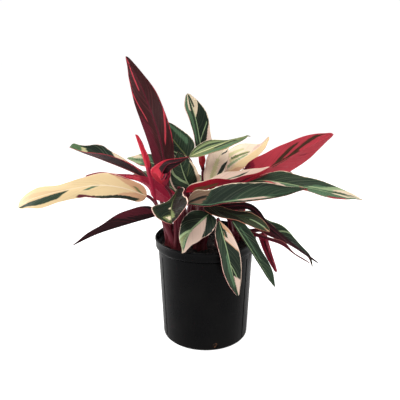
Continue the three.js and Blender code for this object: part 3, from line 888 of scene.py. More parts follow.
@dataclass
class Shoot:
    """A cane standing in the mix and the stalks that fan out of it to their blades."""

    name: str
    foot: Pair
    leaves: list[Leaf]
    material: Material
    cane_foot: float = 186.0
    cane_top: float = 243.0
    cane_radius: float = 10.6
    cane_taper: float = 2.0
    cane_dome: float = 1.5
    scars: int = 7
    scar_height: float = 0.35
    lobes: int = 3
    lobe_height: float = 0.5
    stalk_start: float = 228.0
    stalk_spread: float = 6.0
    stalk_turn: float = 0.7
    root_radius: float = 9.6
    neck_radius: float = 2.8
    narrowing: float = 1.1
    sheath_width: float = 1.35
    ridges: int = 5
    ridge_height: float = 0.05
    swelling: float = 0.9
    swelling_length: float = 16.0
    swelling_place: float = 0.55
    swelling_spread: float = 0.45
    fan: float = 0.15
    rise: float = 0.16
    approach: float = 0.25

    def tube(self, sides: int, rings: int) -> tuple[Piece, np.ndarray, np.ndarray, np.ndarray]:
        """Adds a closed cylinder cut into rings, ready to be shaped.

        Args:
            sides: How many sides it has.
            rings: How many rings of vertices it has.

        Returns:
            The cylinder and, for each vertex, how far up it lies from 0 to 1, its angle in
            radians, and its distance from the axis.
        """
        deselect_all()
        bpy.ops.mesh.primitive_cylinder_add(
            vertices=sides, radius=1.0, depth=1.0, end_fill_type="TRIFAN"
        )
        piece = bpy.context.object
        height = coordinates(piece)[:, 2]
        ends = np.array([tuple(edge.vertices) for edge in piece.data.edges])
        edit(piece, "edges", np.abs(height[ends[:, 0]] - height[ends[:, 1]]) > 0.5)
        bpy.ops.mesh.subdivide(number_cuts=rings - 2)
        bpy.ops.object.mode_set(mode="OBJECT")
        x, y, z = coordinates(piece).T
        return piece, np.clip(z + 0.5, 0, 1), np.arctan2(y, x), np.hypot(x, y)

    def mark(self, piece: Piece, along: np.ndarray, turn: np.ndarray, number: float) -> None:
        """Stores where each vertex lies on its stalk, for the skin's pattern."""
        layer = piece.data.attributes.new("stalk", "FLOAT_VECTOR", "POINT")
        rows = np.stack([along, turn, np.full(len(along), number)], -1)
        layer.data.foreach_set("vector", rows.ravel())

    def route(
        self, leaf: Leaf, number: int, along: np.ndarray
    ) -> tuple[np.ndarray, np.ndarray, float]:
        """Finds a stalk's centre line.

        Args:
            leaf: The blade at its end.
            number: The stalk's place in the fan.
            along: Where to look, from 0 at the cane to 1 at the blade.

        Returns:
            Points and unit tangents in millimetres, and the reach from end to end.
        """
        base, forward, _ = spine_stations(leaf.spine, np.array([0.0]))
        x, y = self.foot
        turn = math.atan2(leaf.spine[0][1] - y, leaf.spine[0][0] - x) + number * self.fan
        start = np.array([
            x + self.stalk_spread * math.cos(turn), y + self.stalk_spread * math.sin(turn),
            self.stalk_start,
        ])
        end = base[0]
        reach = float(np.linalg.norm(end - start))
        rise = start + [0, 0, self.rise * reach]
        approach = end - self.approach * reach * forward[0]
        t = along[:, None]
        line = (
            (1 - t) ** 3 * start + 3 * (1 - t) ** 2 * t * rise
            + 3 * (1 - t) * t**2 * approach + t**3 * end
        )
        slope = (
            3 * (1 - t) ** 2 * (rise - start) + 6 * (1 - t) * t * (approach - rise)
            + 3 * t**2 * (end - approach)
        )
        return line, unit(slope), reach

    def stalk(self, leaf: Leaf, number: int) -> Piece:
        """Models one stalk: a flattened sheath below, a thin neck and a swollen joint."""
        piece, along, turn, off = self.tube(sides=16, rings=56)
        line, forward, reach = self.route(leaf, number, along)
        way = self.stalk_turn * number
        outward = np.array([math.cos(way), math.sin(way), 0.0])
        side = unit(outward - (forward @ outward)[:, None] * forward)
        other = np.cross(forward, side)
        shrink = np.clip(along * self.narrowing, 0, 1)
        radius = self.root_radius + (self.neck_radius - self.root_radius) * shrink
        ahead = (1 - along) * reach / self.swelling_length - self.swelling_place
        radius = radius + self.swelling * np.exp(-((ahead / self.swelling_spread) ** 2))
        flatten = 1 + (self.sheath_width - 1) * (1 - shrink)
        ridge = 1 + self.ridge_height * (1 - shrink) * np.cos(self.ridges * turn)
        size = off * radius * ridge
        points = line + side * (size * np.cos(turn) / flatten)[:, None]
        points = points + other * (size * np.sin(turn) * flatten)[:, None]
        place(piece, points * MM)
        self.mark(piece, along, turn, number + 1.0)
        return piece

    def cane(self) -> Piece:
        """Models the cane: a short upright stump ringed by old leaf scars."""
        piece, along, turn, off = self.tube(sides=24, rings=30)
        x, y = self.foot
        scars = self.scar_height * (np.cos(2 * math.pi * self.scars * along + np.sin(turn)) - 1)
        lobes = self.lobe_height * (np.cos(self.lobes * turn + x) - 1)
        size = off * (self.cane_radius - self.cane_taper * (1 - along) + scars + lobes)
        dome = self.cane_dome * (along > 0.999) * (1 - off)
        height = self.cane_foot + (self.cane_top - self.cane_foot) * along + dome
        points = np.stack([x + size * np.cos(turn), y + size * np.sin(turn), height], -1)
        place(piece, points * MM)
        self.mark(piece, 0.1 * along, turn, 0.0)
        return piece

    def build(self) -> None:
        """Models the whole shoot and dresses it."""
        stalks = [self.stalk(leaf, number) for number, leaf in enumerate(self.leaves)]
        piece = dress(join([self.cane(), *stalks]), f"stalks_{self.name}", self.material)
        finish_piece(piece, [f"shoot_{self.name}"], "stalks", angle=70.0)


# ---- pot -----------------------------------------------------------------------------
def around(turn: float, out: float, height: float, across: float = 0.0) -> Triple:
    """Places a point in millimetres by its turn from the front, in radians, and its reach.

    Args:
        turn: How far round the pot it lies.
        out: How far out it lies.
        height: Its height.
        across: How far it lies to the side of that direction.

    Returns:
        The point.
    """
    sine, cosine = math.sin(turn), math.cos(turn)
    return out * sine + across * cosine, across * sine - out * cosine, height


@dataclass(frozen=True)
class PotFinish:
    """Moulded black plastic: near black, faintly streaked, with dust and rubbed scratches."""

    black: Rgb = (5, 5, 6)
    glaze: Rgb = (9, 9, 11)
    worn: Rgb = (34, 34, 36)
    dust: Rgb = (46, 43, 39)
    flow: Triple = (70.0, 70.0, 4.0)
    grain: float = 900.0
    cloud: float = 14.0
    scrape: Triple = (30.0, 30.0, 420.0)
    scrape_turn: Triple = (0.2, 0.1, 0.0)
    flow_share: float = 0.35
    rub_share: float = 0.5
    cloud_dust: float = 0.06
    foot_dust: float = 0.08
    dust_height: float = 0.02
    roughness: float = 0.27
    dust_roughness: float = 0.8
    relief_depth: float = 0.0003
    specular: float = 0.07

    def material(self) -> Material:
        """Makes the pot's material."""
        skin = Skin("pot_plastic", self.specular)
        where = skin.place()
        flow = skin.cloud(skin.stretched(where, self.flow), 1.0, Detail=3.0)
        grain = skin.cloud(where, self.grain, Detail=2.0)
        cloud = skin.cloud(where, self.cloud, Detail=5.0)
        scraped = skin.stretched(where, self.scrape, self.scrape_turn)
        scratch = skin.cloud(scraped, 1.0, Detail=1.0)
        rub = skin.times(skin.step(scratch, 0.74, 0.03), skin.step(cloud, 0.56, 0.08))
        low = skin.minus(1.0, skin.step(skin.split(where)[2], self.dust_height, 0.03))
        dusty = skin.times(skin.step(cloud, 0.55, 0.14), self.cloud_dust)
        dusty = skin.math("MULTIPLY_ADD", low, self.foot_dust, dusty)
        gloss = skin.times(flow, self.flow_share)
        colour = skin.blend(gloss, linear(self.black), linear(self.glaze))
        colour = skin.blend(skin.times(rub, self.rub_share), colour, linear(self.worn))
        colour = skin.blend(dusty, colour, linear(self.dust))
        rough = skin.math("MULTIPLY_ADD", flow, 0.1, self.roughness - 0.05)
        rough = skin.math("MULTIPLY_ADD", dusty, self.dust_roughness, rough)
        relief = skin.math("MULTIPLY_ADD", flow, 1.6, skin.times(grain, 0.5))
        return skin.wear(colour, rough, relief, 0.35, self.relief_depth)


@dataclass
class Pot:
    """The blow-moulded nursery pot: tapered body, stepped rim band, drain holes and grooves."""

    height: float = 244.0
    rim: float = 117.5
    band_foot: float = 116.2
    band_height: float = 21.7
    neck: float = 110.2
    base: float = 101.2
    corner: float = 4.5
    wall: float = 1.8
    floor: float = 3.0
    facets: int = 128
    grooves: tuple[float, ...] = (57, -63, 177)
    groove_size: Triple = (4.0, 2.6, 200)
    groove_bevel: float = 0.6
    holes: tuple[float, ...] = (12, 102, 192, 282)
    hole_radius: float = 6.5
    hole_height: float = 13.0
    hole_depth: float = 16.0
    finish: PotFinish = PotFinish()

    def profile(self) -> list[Pair]:
        """Lists the wall's outline as radius and height: up the outside and down the inside."""
        base, neck, foot, rim, top = self.base, self.neck, self.band_foot, self.rim, self.height
        corner, inner = self.corner, self.neck - self.wall
        step = top - self.band_height
        bends = [math.radians(angle) for angle in range(12, 96, 12)]
        bend = [
            (base - corner + corner * math.sin(a), corner - corner * math.cos(a)) for a in bends
        ]
        side = step - 8 - corner
        body = [(base + (neck - base) * k / 8, corner + side * k / 8) for k in range(9)]
        groove = [(neck + 0.1, step - 5), (neck - 0.9, step - 3.6), (neck - 1.0, step - 1.6)]
        shoulder = [
            (neck + 1.5, step - 0.9), (foot - 2.0, step - 0.6), (foot - 0.7, step),
            (foot, step + 1.2),
        ]
        band = [
            (foot + 0.1, step + 8), (foot + 0.2, top - 6.2), (rim - 0.5, top - 5.2),
            (rim, top - 4.0), (rim, top - 2.0), (rim - 0.5, top - 0.7), (rim - 1.5, top),
        ]
        lip = [(rim - 2.6, top - 0.2), (rim - 3.2, top - 1.2)]
        inside = [
            (foot - 2.4, top - 8), (foot - 2.4, step + 3), (inner - 1.4, step - 1),
            (inner - 0.2, step - 8), (base - self.wall + 0.6, corner + 2),
            (base - corner, self.floor),
        ]
        return bend + body + groove + shoulder + band + lip + inside

    def groove(self, angle: float) -> Piece:
        """Makes the rounded bar that cuts one mould groove, at so many degrees from the front."""
        deselect_all()
        turn, step = math.radians(angle), self.height - self.band_height
        where = around(turn, (self.base + self.neck) / 2 - 0.1, step / 2 - 3)
        bpy.ops.mesh.primitive_cube_add(
            size=1.0, location=[v * MM for v in where],
            rotation=(math.atan2(self.neck - self.base, step), 0, turn),
        )
        cutter = bpy.context.object
        cutter.scale = [length * MM for length in self.groove_size]
        bpy.ops.object.transform_apply(location=True, rotation=True, scale=True)
        apply_modifier(cutter, "BEVEL", width=self.groove_bevel * MM, segments=2)
        return cutter

    def hole(self, angle: float) -> Piece:
        """Makes the rod that cuts one drain hole, at so many degrees from the front."""
        deselect_all()
        turn = math.radians(angle)
        where = around(turn, self.base, self.hole_height)
        bpy.ops.mesh.primitive_cylinder_add(
            vertices=28, radius=self.hole_radius * MM, depth=self.hole_depth * MM,
            location=[v * MM for v in where], rotation=(math.pi / 2, 0, turn),
        )
        bpy.ops.object.transform_apply(location=True, rotation=True, scale=True)
        return bpy.context.object

    def cut(self, piece: Piece, cutter: Piece) -> None:
        """Takes one cutter out of the pot and throws the cutter away."""
        apply_modifier(piece, "BOOLEAN", object=cutter, operation="DIFFERENCE", solver="EXACT")
        bpy.data.objects.remove(cutter, do_unlink=True)

    def build(self) -> None:
        """Turns the wall by extruding its floor up, over the rim and down again, then cuts it."""
        deselect_all()
        radius, level = (self.base - self.corner) * MM, 0.0
        bpy.ops.mesh.primitive_circle_add(vertices=self.facets, radius=radius, fill_type="NGON")
        piece = bpy.context.object
        edit(piece, "polygons", np.ones(1, bool))
        for r, z in self.profile():
            extrude_ring(z * MM - level, r * MM / radius)
            radius, level = r * MM, z * MM
        close_up()
        for make, angles in ((self.groove, self.grooves), (self.hole, self.holes)):
            for angle in angles:
                self.cut(piece, make(angle))
        dress(piece, "pot_shell", self.finish.material())
        finish_piece(piece, ["pot"], "pot_plastic", angle=35.0)


# ---- potting mix ---------------------------------------------------------------------
@dataclass(frozen=True)
class MixFinish:
    """Damp peat and bark: nearly black, with brown fibres and a few pale grains."""

    peat: Rgb = (20, 15, 13)
    damp: Rgb = (9, 7, 6)
    fibre: Rgb = (48, 34, 26)
    perlite: Rgb = (120, 114, 104)
    lumps: float = 160.0
    grains: float = 230.0
    fibre_share: float = 0.6
    perlite_share: float = 0.85
    roughness: float = 0.9
    relief_depth: float = 0.002

    def material(self, name: str, pale: float) -> Material:
        """Makes the mix's material.

        Args:
            name: The material's name.
            pale: How many of the pieces are pale grains, from 0 to 1.

        Returns:
            The material.
        """
        skin = Skin(name)
        where = skin.place()
        lumps = skin.cloud(where, self.lumps, Detail=6.0, Roughness=0.65)
        cells = skin.node("TexVoronoi", {"Vector": where, "Scale": self.grains}).outputs
        grains = skin.node("SeparateColor", {0: cells["Color"]}).outputs
        colour = skin.blend(skin.step(lumps, 0.5, 0.12), linear(self.damp), linear(self.peat))
        fibre = skin.times(skin.step(grains[0], 0.78, 0.1), self.fibre_share)
        colour = skin.blend(fibre, colour, linear(self.fibre))
        bright = skin.times(skin.step(grains[1], 1.0 - pale, 0.01), self.perlite_share)
        colour = skin.blend(bright, colour, linear(self.perlite))
        rough = skin.math("MULTIPLY_ADD", lumps, 0.3, self.roughness - 0.2)
        return skin.wear(colour, rough, lumps, 0.9, self.relief_depth)


@dataclass
class PottingMix:
    """The body of peat in the pot, its rough top, and the loose crumbs on it."""

    shoots: tuple[Pair, ...]
    pot: Pot
    top: float = 219.0
    crown: float = 4.0
    top_radius: float = 107.4
    foot_radius: float = 92.4
    corner_radius: float = 98.2
    corner_height: float = 5.0
    foot: float = 3.4
    facets: int = 96
    rings: int = 26
    edge_fade: float = 6.0
    lump_height: float = 2.6
    lump_width: float = 14.0
    lump_slice: float = 3.1
    lump_fractal: tuple[float, float, int] = (0.9, 2.1, 5)
    mound_height: float = 3.0
    mound_spread: float = 300.0
    crumbs: int = 260
    crumb_size: Pair = (1.0, 3.4)
    crumb_long: Pair = (0.8, 1.9)
    crumb_wide: Pair = (0.7, 1.2)
    crumb_tall: float = 0.55
    crumb_lift: float = 0.3
    crumb_margin: float = 5.0
    lumpiness: float = 0.35
    lump_grain: float = 1.7
    roots: int = 12
    root_size: Pair = (0.7, 1.6)
    root_long: Pair = (0.7, 1.8)
    root_wide: float = 0.6
    root_tall: Pair = (0.5, 1.4)
    root_reach: Pair = (0.6, 2.6)
    seed: int = 11
    finish: MixFinish = MixFinish()
    root_finish: MixFinish = MixFinish((108, 70, 44), (40, 26, 18), (164, 114, 72))

    def level(self, x: float, y: float) -> float:
        """Returns the height of the rough top at a place, in millimetres."""
        off = math.hypot(x, y) / self.top_radius
        crown = self.crown * (1 - off**2)
        spot = Vector((x / self.lump_width, y / self.lump_width, self.lump_slice))
        lumps = self.lump_height * noise.fractal(spot, *self.lump_fractal)
        mound = sum(
            self.mound_height * math.exp(-(((x - fx) ** 2 + (y - fy) ** 2) / self.mound_spread))
            for fx, fy in self.shoots
        )
        return self.top + crown + (lumps + mound) * min(1.0, self.edge_fade * (1 - off))

    def body(self) -> Piece:
        """Models the body: a tapered plug whose top is inset into rings and roughened."""
        deselect_all()
        bpy.ops.mesh.primitive_circle_add(
            vertices=self.facets, radius=self.foot_radius * MM, fill_type="NGON",
            location=(0, 0, self.foot * MM),
        )
        piece = bpy.context.object
        bpy.ops.object.transform_apply(location=True)
        edit(piece, "polygons", np.ones(1, bool))
        extrude_ring(self.corner_height * MM, self.corner_radius / self.foot_radius)
        side = self.top - self.foot - self.corner_height
        extrude_ring(side * MM, self.top_radius / self.corner_radius)
        for _ in range(self.rings - 1):
            bpy.ops.mesh.inset(thickness=self.top_radius / self.rings * MM, use_even_offset=False)
        bpy.ops.mesh.poke()
        close_up()
        points = coordinates(piece) / MM
        for row in points:
            if row[2] > self.top - 1:
                row[2] = self.level(row[0], row[1])
        place(piece, points * MM)
        return piece

    def lump(self, number: int, stretch: Triple, turn: float, where: Triple) -> Piece:
        """Models one irregular crumb.

        Args:
            number: Which crumb it is, which settles its lumps.
            stretch: Its half lengths in millimetres.
            turn: How far it is turned about the upright, in radians.
            where: Its place in millimetres.

        Returns:
            The crumb, without a material.
        """
        deselect_all()
        bpy.ops.mesh.primitive_ico_sphere_add(subdivisions=1, radius=1.0)
        piece = bpy.context.object
        points = coordinates(piece)
        shift = Vector((number, 0, 0))
        bumps = [[noise.noise(Vector(point) * self.lump_grain + shift)] for point in points]
        points *= 1 + self.lumpiness * np.array(bumps)
        sine, cosine = math.sin(turn), math.cos(turn)
        spin = np.array([[cosine, -sine, 0], [sine, cosine, 0], [0, 0, 1]])
        place(piece, ((points * stretch) @ spin.T + where) * MM)
        return piece

    def crumb(self, number: int, chance: random.Random) -> Piece:
        """Models one loose crumb of bark or peat lying on the top."""
        angle = chance.uniform(0, 2 * math.pi)
        off = (self.top_radius - self.crumb_margin) * math.sqrt(chance.uniform(0.0, 1.0))
        x, y = off * math.cos(angle), off * math.sin(angle)
        size = chance.uniform(*self.crumb_size)
        long, wide = chance.uniform(*self.crumb_long), chance.uniform(*self.crumb_wide)
        stretch = (size * long, size * wide, size * self.crumb_tall)
        turn = chance.uniform(0, 2 * math.pi)
        return self.lump(number, stretch, turn, (x, y, self.level(x, y) + self.crumb_lift * size))

    def root(self, number: int, hole: float, chance: random.Random) -> Piece:
        """Models one bit of root and bark that shows in a drain hole."""
        turn = math.radians(hole)
        spread = self.pot.hole_radius * math.sqrt(chance.uniform(0.0, 0.8))
        angle = chance.uniform(0, 2 * math.pi)
        across, rise = spread * math.cos(angle), spread * math.sin(angle)
        radius = self.corner_radius + chance.uniform(*self.root_reach)
        where = around(turn, radius, self.pot.hole_height + rise, across)
        size = chance.uniform(*self.root_size)
        long, tall = chance.uniform(*self.root_long), chance.uniform(*self.root_tall)
        stretch = (size * long, size * self.root_wide, size * tall)
        return self.lump(number, stretch, turn, where)

    def build(self) -> None:
        """Models the body, the crumbs on it and the roots in the drain holes."""
        body = dress(self.body(), "mix_body", self.finish.material("mix_peat", 0.03))
        finish_piece(body, ["potting_mix"], "potting_mix", angle=180.0)
        chance = random.Random(self.seed)
        crumbs = join([self.crumb(n, chance) for n in range(self.crumbs)])
        dress(crumbs, "mix_crumbs", self.finish.material("mix_bark", 0.1))
        finish_piece(crumbs, [], "potting_mix", angle=50.0)
        holes = self.pot.holes
        roots = join([self.root(n, hole, chance) for hole in holes for n in range(self.roots)])
        dress(roots, "mix_roots", self.root_finish.material("mix_root", 0.0))
        finish_piece(roots, [], "potting_mix", angle=50.0)


# ---- studio --------------------------------------------------------------------------
@dataclass
class Studio:
    """The camera, the pale floor and the soft lights.

    Each lamp has a name, a place in metres, the length of its side and its power in watts.
    """

    eye: Triple = (-0.013, -1.102, 0.642)
    pitch: float = 15.87
    lens: float = 45.0
    sensor: float = 36.0
    floor_size: float = 80.0
    floor_height: float = -0.0003
    floor_dark: Rgb = (206, 206, 206)
    floor_light: Rgb = (212, 212, 211)
    floor_mottle: float = 3.0
    floor_roughness: float = 0.9
    floor_glow: float = 0.7
    world: float = 0.5
    world_seen: float = 1.02
    aim: Triple = (0, 0, 0.3)
    lamps: tuple[tuple[str, Triple, float, float], ...] = (
        ("key", (-1.0, -1.3, 2.4), 1.5, 48),
        ("fill", (1.8, -1.0, 1.2), 1.4, 8),
        ("rim_left", (-1.67, 0.3, 0.35), 1.2, 58),
        ("rim_right", (1.55, 0.7, 0.35), 1.2, 46),
    )

    def camera(self) -> None:
        """Sets up the camera, level and looking slightly down at the plant."""
        data = bpy.data.cameras.new("camera")
        data.lens, data.sensor_width = self.lens, self.sensor
        data.clip_start, data.clip_end = 0.01, 60.0
        camera = bpy.data.objects.new("camera", data)
        camera.location = self.eye
        camera.rotation_euler = (math.radians(90 - self.pitch), 0, 0)
        bpy.context.collection.objects.link(camera)
        bpy.context.scene.camera = camera

    def floor(self) -> None:
        """Lays a wide pale floor under the pot, lifted towards white where it is seen."""
        deselect_all()
        bpy.ops.mesh.primitive_plane_add(size=self.floor_size, location=(0, 0, self.floor_height))
        piece = bpy.context.object
        bpy.ops.object.transform_apply(location=True)
        skin = Skin("floor_pale", specular=0.1)
        mottle = skin.cloud(skin.place(), self.floor_mottle)
        colour = skin.blend(mottle, linear(self.floor_dark), linear(self.floor_light))
        seen = skin.node("LightPath").outputs["Is Camera Ray"]
        skin.feed(skin.inputs["Emission Strength"], skin.times(seen, self.floor_glow))
        skin.feed(skin.inputs["Emission Color"], WHITE)
        dress(piece, "floor", skin.wear(colour, self.floor_roughness))

    def light(self) -> None:
        """Sets up an even white surround and the soft lamps, all aimed at the plant."""
        world = bpy.data.worlds.new("surround")
        bpy.context.scene.world = world
        world.use_nodes = True
        wiring = Wiring(world.node_tree)
        background = world.node_tree.nodes["Background"].inputs
        seen = wiring.node("LightPath").outputs["Is Camera Ray"]
        wiring.feed(background["Strength"], wiring.between(self.world, self.world_seen, seen))
        wiring.feed(background["Color"], WHITE)
        for name, where, size, power in self.lamps:
            data = bpy.data.lights.new(name, "AREA")
            data.size, data.energy = size, power
            lamp = bpy.data.objects.new(name, data)
            lamp.location = where
            aim = Vector(self.aim) - Vector(where)
            lamp.rotation_euler = aim.to_track_quat("-Z", "Y").to_euler()
            bpy.context.collection.objects.link(lamp)
        bpy.context.scene.view_settings.view_transform = "Standard"


# ---- the plant: its shoots and its blades ---------------------------------------------
SHOOTS: dict[str, Pair] = {
    "front_left": (-62, -54),
    "left": (-77, -20),
    "middle": (-12, -44),
    "front_right": (30, -26),
    "right": (64, 4),
    "back": (-8, 34),
    "back_right": (80, 42),
}

PLAIN = painted(
    left(CREAM, 0.38, 0.6, inner=(0.1, 0.3), outer=(0.9, 1.1), feather=0.5),
    right(PALE, 0.15, 0.3, inner=0.2, outer=(0.8, 0.9), feather=0.5),
    right(PINK, 0.62, 0.9, inner=(0.35, 0.2), feather=0.4),
)

